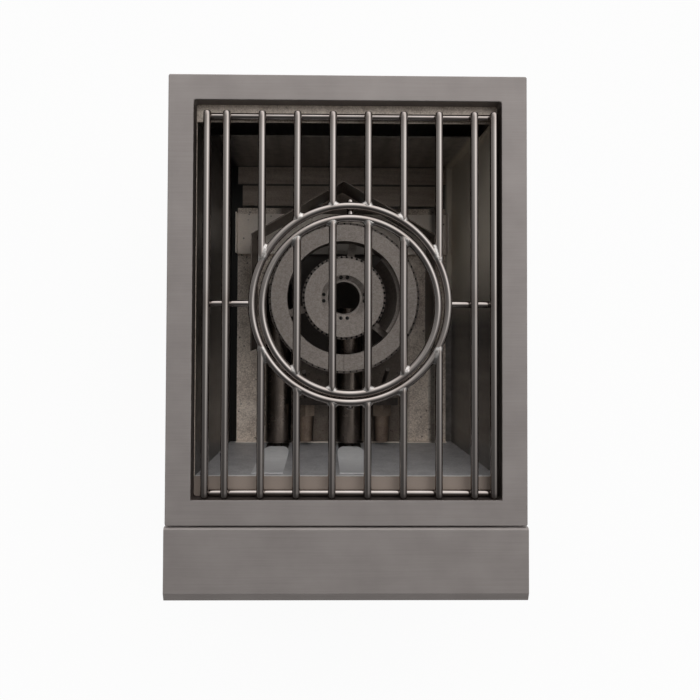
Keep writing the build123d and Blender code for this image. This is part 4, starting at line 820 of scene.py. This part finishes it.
def keep_rods(node, body, joints, bars, rings=()):
    """Build the round rods that stand for a node, with each point's nearness to a weld."""
    work = bmesh.new()
    for bar in bars:
        add_rod(work, *bar)
    for ring in rings:
        add_ring(work, *ring)
    mesh = close_mesh(work, node + "_round")
    mesh.shade_smooth()
    reach = bpy.context.scene.burner_rods.heat_reach
    heat = mesh.attributes.new("weld_heat", "FLOAT", "POINT")
    for vertex in mesh.vertices:
        nearest = min((vertex.co - joint).length for joint in joints)
        heat.data[vertex.index].value = math.exp(-((nearest / reach) ** 2) / 4)
    mesh.materials.append(finish_of(polished_stainless_rod))
    keep_piece(node + "_round", mesh, body, [node])


def bar_axis(low, high, way):
    """Give the two ends and the radius of a straight rod that runs along one axis."""
    middle = (low + high) / 2
    start, end = middle.copy(), middle.copy()
    start[way], end[way] = low[way], high[way]
    return start, end, (high.z - low.z) / 2


def ring_meet(centre, bend, x, side):
    """Give the point where a bar at that x meets a ring's middle line, behind (1) or in front (-1)."""
    return Vector((x, centre.y + side * math.sqrt(bend ** 2 - (x - centre.x) ** 2), centre.z))


# Welds

# the bars welded to each body's ring, behind it (1) or in front (-1), and which way a bar leaves the weld
WELDED_BARS = {
    "grate": {"grate_bars_rear": [(1, 1)], "grate_bars_front": [(-1, -1)]},
    "insert": {"insert_bars": [(1, -1), (-1, 1)]},
}


def ring_welds(body):
    """Give each weld of a body's bars to its ring: its point and the way its bar leaves."""
    centre, bend, _ = ring_shape(body + "_ring")
    welds = []
    for node, ends in WELDED_BARS[body].items():
        for low, high in solids_of(node):
            for side, way in ends:
                welds.append((ring_meet(centre, bend, (low.x + high.x) / 2, side), Vector((0, way, 0))))
    return welds


def crossing_welds():
    """Give each crossing of a bar and a rod: the bar's middle line, the rod, and how far the bar runs on."""
    places = []
    bare = bpy.context.scene.burner_rods.end_round
    bars = [box for side in ("left", "right", "rear", "front") for box in solids_of("grate_bars_" + side)]
    for rod_low, rod_high in solids_of("grate_cross_rods") + solids_of("grate_side_rods"):
        rod = (rod_low + rod_high) / 2
        for low, high in bars:
            middle = (low + high) / 2
            if low.y < rod.y < high.y and rod_low.x < middle.x < rod_high.x:
                ends = (low.y + bare - rod.y, high.y - bare - rod.y)
                places.append((Vector((middle.x, rod.y, middle.z)), rod, ends))
    return places


def new_tree(name, sizes):
    """Start a geometry tree with named inputs for its sizes; give back it and its inputs."""
    tree = bpy.data.node_groups.new(name, "GeometryNodeTree")
    kinds = [("Geometry", "Geometry"), *((size, "Float") for size in sizes), ("Seed", "Int"),
             ("Material", "Material")]
    for label, kind in kinds:
        tree.interface.new_socket(label, in_out="INPUT", socket_type="NodeSocket" + kind)
    tree.interface.new_socket("Geometry", in_out="OUTPUT", socket_type="NodeSocketGeometry")
    return tree, add_node(tree, "NodeGroupInput", {}).outputs


def close_tree(tree, given, shape):
    """End a geometry tree in real geometry with its material."""
    real = add_node(tree, "GeometryNodeRealizeInstances", {"Geometry": shape})
    done = add_node(tree, "GeometryNodeSetMaterial", {"Geometry": real, "Material": given["Material"]})
    add_node(tree, "NodeGroupOutput", {"Geometry": done})
    return tree


def run_tree(name, mesh, tree, values):
    """Run a node tree on a mesh and give back the plain mesh that it makes."""
    carrier = bpy.data.objects.new(name, mesh)
    bpy.context.scene.collection.objects.link(carrier)
    modifier = carrier.modifiers.new(tree.name, "NODES")
    modifier.node_group = tree
    for socket in tree.interface.items_tree:
        if socket.in_out == "INPUT" and socket.name in values:
            modifier[socket.identifier] = values[socket.name]
    graph = bpy.context.evaluated_depsgraph_get()
    result = bpy.data.meshes.new_from_object(carrier.evaluated_get(graph))
    bpy.data.objects.remove(carrier)
    result.name = name
    return result


def weld_tree():
    """Build the node tree that ripples a weld's skin where it stands proud of its rods."""
    tree, given = new_tree("weld_ripples", ("Ripple", "Fineness"))
    waves = add_node(tree, "ShaderNodeTexNoise",
                     {"W": given["Seed"], "Scale": given["Fineness"], "Detail": 1.0}, noise_dimensions="4D")
    swing = add_node(tree, "ShaderNodeMapRange", {"Value": waves, "To Min": -1.0, "To Max": 1.0})
    proud = add_node(tree, "GeometryNodeInputNamedAttribute", {"Name": "weld_proud"}, data_type="FLOAT")
    eased = add_node(tree, "ShaderNodeMath", {0: swing, 1: proud}, operation="MULTIPLY")
    rise = add_node(tree, "ShaderNodeMath", {0: eased, 1: given["Ripple"]}, operation="MULTIPLY")
    out = add_node(tree, "GeometryNodeInputNormal", {})
    shift = add_node(tree, "ShaderNodeVectorMath", {0: out, "Scale": rise}, operation="SCALE")
    moved = add_node(tree, "GeometryNodeSetPosition", {"Geometry": given["Geometry"], "Offset": shift})
    smooth = add_node(tree, "GeometryNodeSetShadeSmooth", {"Geometry": moved})
    return close_tree(tree, given, smooth)


def ring_gap(shape, place):
    """Give the distance from a place to the skin of a bent ring."""
    centre, bend, radius = shape
    off = place - centre
    return math.hypot(math.hypot(off.x, off.y) - bend, off.z) - radius


def rod_gap(rod, radius, place):
    """Give the distance from a place to the skin of a rod that runs from left to right."""
    return math.hypot(place.y - rod.y, place.z - rod.z) - radius


def fillet_gap(first, second, reach):
    """Give the distance to two skins with their corner filled, from the distance to each."""
    share = max(1 - abs(first - second) / reach, 0)
    return min(first, second) - share ** 2 * reach / 4


def weld_runs(low, high):
    """Give the steps along a bar at which a weld's loops lie."""
    step = bpy.context.scene.burner_rods.weld_step
    return [k * step for k in range(math.ceil(low / step), math.floor(high / step) + 1)]


def add_weld(work, spot, way, radius, gap, runs):
    """Skin the weld between a bar and what it meets, in loops round the bar; gap tells how far that is."""
    rods = bpy.context.scene.burner_rods
    proud = work.verts.layers.float["weld_proud"]
    across = way.cross(UP)
    loops = []
    for run in runs:
        loop = []
        base = spot + way * run
        # the fillet grows from nothing over one bar radius, so that its first loop stays inside the ring
        grown = min((run - runs[0] + rods.weld_sink) / radius, 1)
        for k in range(rods.sides):
            turn = 2 * math.pi * k / rods.sides
            out = math.cos(turn) * across + math.sin(turn) * UP
            reach = grown * (rods.weld_crest + (rods.weld_corner - rods.weld_crest) * abs(math.cos(turn)))
            # walk out from inside the bar to the weld's skin, ever more finely
            far = radius - 2 * rods.weld_sink
            for stride in WELD_STRIDES:
                while (far < radius + reach
                       and fillet_gap(far - radius, gap(base + far * out), reach) < -rods.weld_sink):
                    far += stride
                far -= stride
            vertex = work.verts.new(base + far * out)
            vertex[proud] = min(max(min(far - radius, gap(vertex.co)) / rods.ripple, 0), 1)
            loop.append(vertex)
        loops.append(loop)
    skin(work, loops)


def keep_welds(name, body, welds, seed):
    """Build welds as one piece of a body; each weld has its spot, way, radius, gap and runs."""
    rods = bpy.context.scene.burner_rods
    work = bmesh.new()
    work.verts.layers.float.new("weld_proud")
    for weld in welds:
        add_weld(work, *weld)
    values = {"Ripple": rods.ripple, "Fineness": 1 / rods.ripple_size, "Seed": seed,
              "Material": finish_of(weld_metal)}
    tree = bpy.data.node_groups.get("weld_ripples") or weld_tree()
    mesh = run_tree(name, close_mesh(work, name + "_skin"), tree, values)
    keep_piece(name, mesh, body)


# Fastener heads

def head_tree():
    """Build the node tree that sets a domed head with a recess at each point."""
    sizes = ("Radius", "Height", "Recess depth", "Recess reach", "Recess arm", "Facing")
    tree, given = new_tree("fastener_heads", sizes)
    # a flat drum, whose top is bent into a dome and pressed in at the recess
    drum = add_node(tree, "GeometryNodeMeshCylinder",
                    {"Vertices": 64, "Side Segments": 2, "Fill Segments": 16, "Radius": 1.0, "Depth": 1.0})
    where = add_node(tree, "GeometryNodeInputPosition", {})
    flat = add_node(tree, "ShaderNodeVectorMath", {0: where, 1: IN_PLAN}, operation="MULTIPLY")
    out = add_node(tree, "ShaderNodeVectorMath", {0: flat}, operation="LENGTH")
    height = add_node(tree, "ShaderNodeSeparateXYZ", {0: where}).outputs[2]
    upper = add_node(tree, "ShaderNodeMath", {0: height, 1: 0.5}, operation="ADD")
    steep = add_node(tree, "ShaderNodeMath", {0: out, 1: DOME_POWER}, operation="POWER")
    dome = add_node(tree, "ShaderNodeMath", {0: steep, 1: -DOME_DROP, 2: 1.0}, operation="MULTIPLY_ADD")
    sides = folded_sides(tree, flat)
    beside = add_node(tree, "ShaderNodeMath", {0: sides[0], 1: sides[1]}, operation="MINIMUM")
    narrow = add_node(tree, "ShaderNodeMath", {0: beside, 1: given["Recess arm"]}, operation="LESS_THAN")
    close = add_node(tree, "ShaderNodeMath", {0: out, 1: given["Recess reach"]}, operation="LESS_THAN")
    pressed = add_node(tree, "ShaderNodeMath", {0: narrow, 1: close}, operation="MULTIPLY")
    sunk = add_node(tree, "ShaderNodeMath", {0: pressed, 1: given["Recess depth"]}, operation="MULTIPLY")
    lower = add_node(tree, "ShaderNodeMath", {0: dome, 1: sunk}, operation="SUBTRACT")
    share = add_node(tree, "ShaderNodeMath", {0: upper, 1: lower}, operation="MULTIPLY")
    rise = add_node(tree, "ShaderNodeMath", {0: share, 1: given["Height"]}, operation="MULTIPLY")
    wide = add_node(tree, "ShaderNodeVectorMath", {0: flat, "Scale": given["Radius"]}, operation="SCALE")
    tall = add_node(tree, "ShaderNodeCombineXYZ", {2: rise})
    both = add_node(tree, "ShaderNodeVectorMath", {0: wide, 1: tall}, operation="ADD")
    head = add_node(tree, "GeometryNodeSetPosition", {"Geometry": drum, "Position": both})
    # each head faces along the burner's depth and stops at its own turn
    turn = add_node(tree, "FunctionNodeRandomValue", {2: 0.0, 3: 2 * math.pi, 8: given["Seed"]},
                    data_type="FLOAT")
    pose = add_node(tree, "ShaderNodeCombineXYZ", {0: given["Facing"], 1: turn})
    laid = add_node(tree, "GeometryNodeInstanceOnPoints",
                    {"Points": given["Geometry"], "Instance": head, "Rotation": pose})
    return close_tree(tree, given, laid)


def keep_heads(node, seat, way, recess, seed):
    """Put detailed heads in place of a node's fasteners, facing front (-1) or back (1) from their seat."""
    boxes = solids_of(node)
    low, high = boxes[0]
    places = [Vector(((first.x + last.x) / 2, seat, (first.z + last.z) / 2)) for first, last in boxes]
    mesh = bpy.data.meshes.new(node + "_points")
    mesh.from_pydata(places, [], [])
    values = {"Radius": (high.x - low.x) / 2, "Height": abs((high.y if way > 0 else low.y) - seat),
              "Recess depth": RECESS_DEPTH, **recess, "Facing": -way * math.pi / 2, "Seed": seed,
              "Material": finish_of(zinc_plated_steel)}
    tree = bpy.data.node_groups.get("fastener_heads") or head_tree()
    name = node + "_heads"
    keep_piece(name, run_tree(name, mesh, tree, values), "chassis", [node])


# Floor, room and camera

def lay_floor(stage):
    """Lay a pale floor under the burner."""
    half = stage.floor_size / 2
    height = cad_box[0].z - FLOOR_GAP
    corners = [(x * half, y * half, height) for x, y in ((-1, -1), (1, -1), (1, 1), (-1, 1))]
    mesh = bpy.data.meshes.new("floor")
    mesh.from_pydata(corners, [], [(0, 1, 2, 3)])
    mesh.materials.append(finish_of(pale_floor))
    floor = bpy.data.objects.new("floor", mesh)
    bpy.context.scene.collection.objects.link(floor)


def light_room(scene, stage):
    """Make a dim room with pale low walls and soft glows over the back, on the right and on the left."""
    world = bpy.data.worlds.new("studio_room")
    world.use_nodes = True
    tree = world.node_tree
    tree.nodes.clear()
    way = add_node(tree, "ShaderNodeTexCoord", {}).outputs["Generated"]
    height = add_node(tree, "ShaderNodeSeparateXYZ", {0: way}).outputs[2]
    low = add_node(tree, "ShaderNodeMapRange",
                   {"Value": height, "From Max": stage.low_reach, "To Min": stage.low_glow, "To Max": 0.0},
                   interpolation_type="SMOOTHSTEP")
    glow = add_node(tree, "ShaderNodeMath", {0: low, 1: stage.room_glow}, operation="ADD")
    for centre, strength, spread in ((stage.back_way, stage.back_glow, stage.back_spread),
                                     (stage.side_way, stage.side_glow, stage.side_spread),
                                     (stage.left_way, stage.left_glow, stage.left_spread)):
        near = add_node(tree, "ShaderNodeVectorMath", {0: way, 1: Vector(centre).normalized()},
                        operation="DOT_PRODUCT")
        narrow = 2 / spread ** 2
        fall = add_node(tree, "ShaderNodeMath", {0: near, 1: narrow, 2: -narrow}, operation="MULTIPLY_ADD")
        soft = add_node(tree, "ShaderNodeMath", {0: fall}, operation="EXPONENT")
        glow = add_node(tree, "ShaderNodeMath", {0: soft, 1: strength, 2: glow}, operation="MULTIPLY_ADD")
    sky = add_node(tree, "ShaderNodeBackground", {"Color": linear("#FFFFFF"), "Strength": glow})
    add_node(tree, "ShaderNodeOutputWorld", {"Surface": sky})
    scene.world = world


def aim_camera(scene, stage):
    """Set the camera almost straight over the well."""
    lens = bpy.data.cameras.new("camera")
    lens.sensor_width = SENSOR_MM
    lens.lens = stage.lens
    lens.shift_x, lens.shift_y = stage.shift
    lens.clip_start = NEAR_CLIP
    camera = bpy.data.objects.new("camera", lens)
    camera.location = stage.camera_place
    camera.rotation_euler = Euler(stage.camera_turn)
    scene.collection.objects.link(camera)
    scene.camera = camera


# Operators

class BURNER_OT_trim(bpy.types.Operator):
    """Finish the brushed frame, shelf and fascia"""
    bl_idname = "burner.trim"
    bl_label = "Brushed trim"

    def execute(self, context):
        dress("top_frame", "front_shelf", "control_fascia")
        return {"FINISHED"}


class BURNER_OT_casing(bpy.types.Operator):
    """Finish the casing, base and heat shield"""
    bl_idname = "burner.casing"
    bl_label = "Casing"

    def execute(self, context):
        dress("casing_left", "casing_right", "casing_rear", "base_plate", "heat_shield")
        return {"FINISHED"}


class BURNER_OT_firebox(bpy.types.Operator):
    """Finish the liner, tray, bracket, louvres and wind shield"""
    bl_idname = "burner.firebox"
    bl_label = "Firebox"

    def execute(self, context):
        dress("liner_front", "liner_rear", "liner_left", "liner_right")
        dress("burner_tray", "cross_bracket", "rear_louvres", "wind_shield")
        return {"FINISHED"}


class BURNER_OT_covers(bpy.types.Operator):
    """Make the covers of the front wall's slots"""
    bl_idname = "burner.covers"
    bl_label = "Slot covers"

    def execute(self, context):
        work = bmesh.new()
        for low, high in solids_of("slot_covers"):
            add_cover(work, low, high)
        mesh = close_mesh(work, "slot_covers_rounded")
        mesh.materials.append(finish_of(bright_annealed_cover))
        keep_piece("slot_covers_rounded", mesh, "chassis", ["slot_covers"])
        return {"FINISHED"}


class BURNER_OT_heads(bpy.types.Operator):
    """Finish the two burner heads and their mixing tubes"""
    bl_idname = "burner.heads"
    bl_label = "Burner heads"

    def execute(self, context):
        for ring in ("outer", "inner"):
            dress(ring + "_burner_body", ring + "_venturi", ring + "_shutter")
        dress("outer_burner_lid", "inner_burner_cap")
        return {"FINISHED"}


class BURNER_OT_igniters(bpy.types.Operator):
    """Finish the igniters and their bracket"""
    bl_idname = "burner.igniters"
    bl_label = "Igniters"

    def execute(self, context):
        dress("igniter_bracket", "igniter_bushings", "igniter_boots", "spark_electrodes")
        return {"FINISHED"}


class BURNER_OT_gas_train(bpy.types.Operator):
    """Finish the manifold, valves, orifices and stems"""
    bl_idname = "burner.gas_train"
    bl_label = "Gas train"

    def execute(self, context):
        dress("gas_manifold", "manifold_clips", "gas_inlet")
        for ring in ("outer", "inner"):
            dress(ring + "_valve", ring + "_orifice", ring + "_stem", ring + "_push_collar")
        return {"FINISHED"}


class BURNER_OT_controls(bpy.types.Operator):
    """Finish the knobs, bezels, igniter button and spark module"""
    bl_idname = "burner.controls"
    bl_label = "Controls"

    def execute(self, context):
        dress("outer_knob", "inner_knob", "knob_bezels", "button_bezel", "igniter_button", "spark_module")
        return {"FINISHED"}


class BURNER_OT_fasteners(bpy.types.Operator):
    """Make the heads of the screws and rivets"""
    bl_idname = "burner.fasteners"
    bl_label = "Fasteners"

    def execute(self, context):
        keep_heads("fascia_screws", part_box("control_fascia")[0].y, -1, SCREW_CROSS, 4)
        keep_heads("rear_rivets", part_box("casing_rear")[1].y, 1, RIVET_DIMPLE, 5)
        return {"FINISHED"}


class BURNER_OT_grate(bpy.types.Operator):
    """Make the grate's bars, rods and ring round"""
    bl_idname = "burner.grate"
    bl_label = "Grate"

    def execute(self, context):
        ring = ring_shape("grate_ring")
        centre, bend, _ = ring
        joints = [weld[0] for weld in ring_welds("grate") + crossing_welds()]
        keep_rods("grate_ring", "grate", joints, [], [ring])
        # bars and side rods that reach the ring end on its middle line
        for node, side in (("grate_bars_rear", 1), ("grate_bars_front", -1)):
            bars = []
            for low, high in solids_of(node):
                start, end, radius = bar_axis(low, high, 1)
                meet = ring_meet(centre, bend, start.x, side)
                bars.append((meet, end, radius) if side > 0 else (start, meet, radius))
            keep_rods(node, "grate", joints, bars)
        bars = []
        for low, high in solids_of("grate_side_rods"):
            start, end, radius = bar_axis(low, high, 0)
            if start.x < centre.x:
                end.x = min(end.x, centre.x - bend)
            else:
                start.x = max(start.x, centre.x + bend)
            bars.append((start, end, radius))
        keep_rods("grate_side_rods", "grate", joints, bars)
        for node, way in (("grate_bars_left", 1), ("grate_bars_right", 1), ("grate_cross_rods", 0),
                          ("grate_pegs", 1)):
            keep_rods(node, "grate", joints, [bar_axis(low, high, way) for low, high in solids_of(node)])
        return {"FINISHED"}


class BURNER_OT_insert(bpy.types.Operator):
    """Make the loose insert's bars and ring round"""
    bl_idname = "burner.insert"
    bl_label = "Insert"

    def execute(self, context):
        ring = ring_shape("insert_ring")
        centre, bend, _ = ring
        joints = [weld[0] for weld in ring_welds("insert")]
        keep_rods("insert_ring", "insert", joints, [], [ring])
        bars = []
        for low, high in solids_of("insert_bars"):
            start, _, radius = bar_axis(low, high, 1)
            bars.append((ring_meet(centre, bend, start.x, -1), ring_meet(centre, bend, start.x, 1), radius))
        keep_rods("insert_bars", "insert", joints, bars)
        return {"FINISHED"}


class BURNER_OT_welds(bpy.types.Operator):
    """Lay the welds of the grate and the insert"""
    bl_idname = "burner.welds"
    bl_label = "Welds"

    def execute(self, context):
        runs = weld_runs(0, WELD_LENGTH)
        for body, seed in (("grate", 1), ("insert", 3)):
            shape = ring_shape(body + "_ring")
            gap = partial(ring_gap, shape)
            welds = [(spot, way, shape[2], gap, runs) for spot, way in ring_welds(body)]
            keep_welds(body + "_welds", body, welds, seed)
        bar = ring_shape("grate_ring")[2]
        low, high = solids_of("grate_cross_rods")[0]
        thick = (high.z - low.z) / 2
        welds = []
        for spot, rod, ends in crossing_welds():
            runs = weld_runs(max(ends[0], -CROSSING_REACH), min(ends[1], CROSSING_REACH))
            welds.append((spot, Vector((0, 1, 0)), bar, partial(rod_gap, rod, thick), runs))
        keep_welds("grate_crossing_welds", "grate", welds, 2)
        return {"FINISHED"}


class BURNER_OT_stage(bpy.types.Operator):
    """Set the floor, the glows of the room and the camera"""
    bl_idname = "burner.stage"
    bl_label = "Stage"

    def execute(self, context):
        scene = context.scene
        stage = scene.burner_stage
        lay_floor(stage)
        light_room(scene, stage)
        aim_camera(scene, stage)
        scene.view_settings.view_transform = "Standard"
        return {"FINISHED"}


class BURNER_PT_panel(bpy.types.Panel):
    """Lists the steps that dress the burner, and their settings"""
    bl_idname = "BURNER_PT_panel"
    bl_label = "Power side burner"
    bl_space_type = "VIEW_3D"
    bl_region_type = "UI"
    bl_category = "Burner"

    def draw(self, context):
        for step in STEPS:
            self.layout.operator(step.bl_idname)
        for name in SETTINGS:
            group = getattr(context.scene, name)
            box = self.layout.box()
            for key in group.bl_rna.properties.keys():
                if key not in ("rna_type", "name"):
                    box.prop(group, key)


SETTINGS = {"burner_rods": BurnerRods, "burner_covers": BurnerCovers, "burner_ports": BurnerPorts,
            "burner_stage": BurnerStage, "burner_finishes": BurnerFinishes}
STEPS = (BURNER_OT_trim, BURNER_OT_casing, BURNER_OT_firebox, BURNER_OT_covers, BURNER_OT_heads,
         BURNER_OT_igniters, BURNER_OT_gas_train, BURNER_OT_controls, BURNER_OT_fasteners, BURNER_OT_grate,
         BURNER_OT_insert, BURNER_OT_welds, BURNER_OT_stage)
CLASSES = (*SETTINGS.values(), *STEPS, BURNER_PT_panel)


def register():
    """Add the settings, the steps and the panel."""
    for each in CLASSES:
        bpy.utils.register_class(each)
    for name, group in SETTINGS.items():
        setattr(bpy.types.Scene, name, PointerProperty(type=group))


def unregister():
    """Take the settings, the steps and the panel away."""
    for name in SETTINGS:
        delattr(bpy.types.Scene, name)
    for each in reversed(CLASSES):
        bpy.utils.unregister_class(each)


def main():
    """Dress the burner step by step."""
    register()
    bpy.ops.burner.trim()
    bpy.ops.burner.casing()
    bpy.ops.burner.firebox()
    bpy.ops.burner.covers()
    bpy.ops.burner.heads()
    bpy.ops.burner.igniters()
    bpy.ops.burner.gas_train()
    bpy.ops.burner.controls()
    bpy.ops.burner.fasteners()
    bpy.ops.burner.grate()
    bpy.ops.burner.insert()
    bpy.ops.burner.welds()
    bpy.ops.burner.stage()


if __name__ == "__main__":
    main()
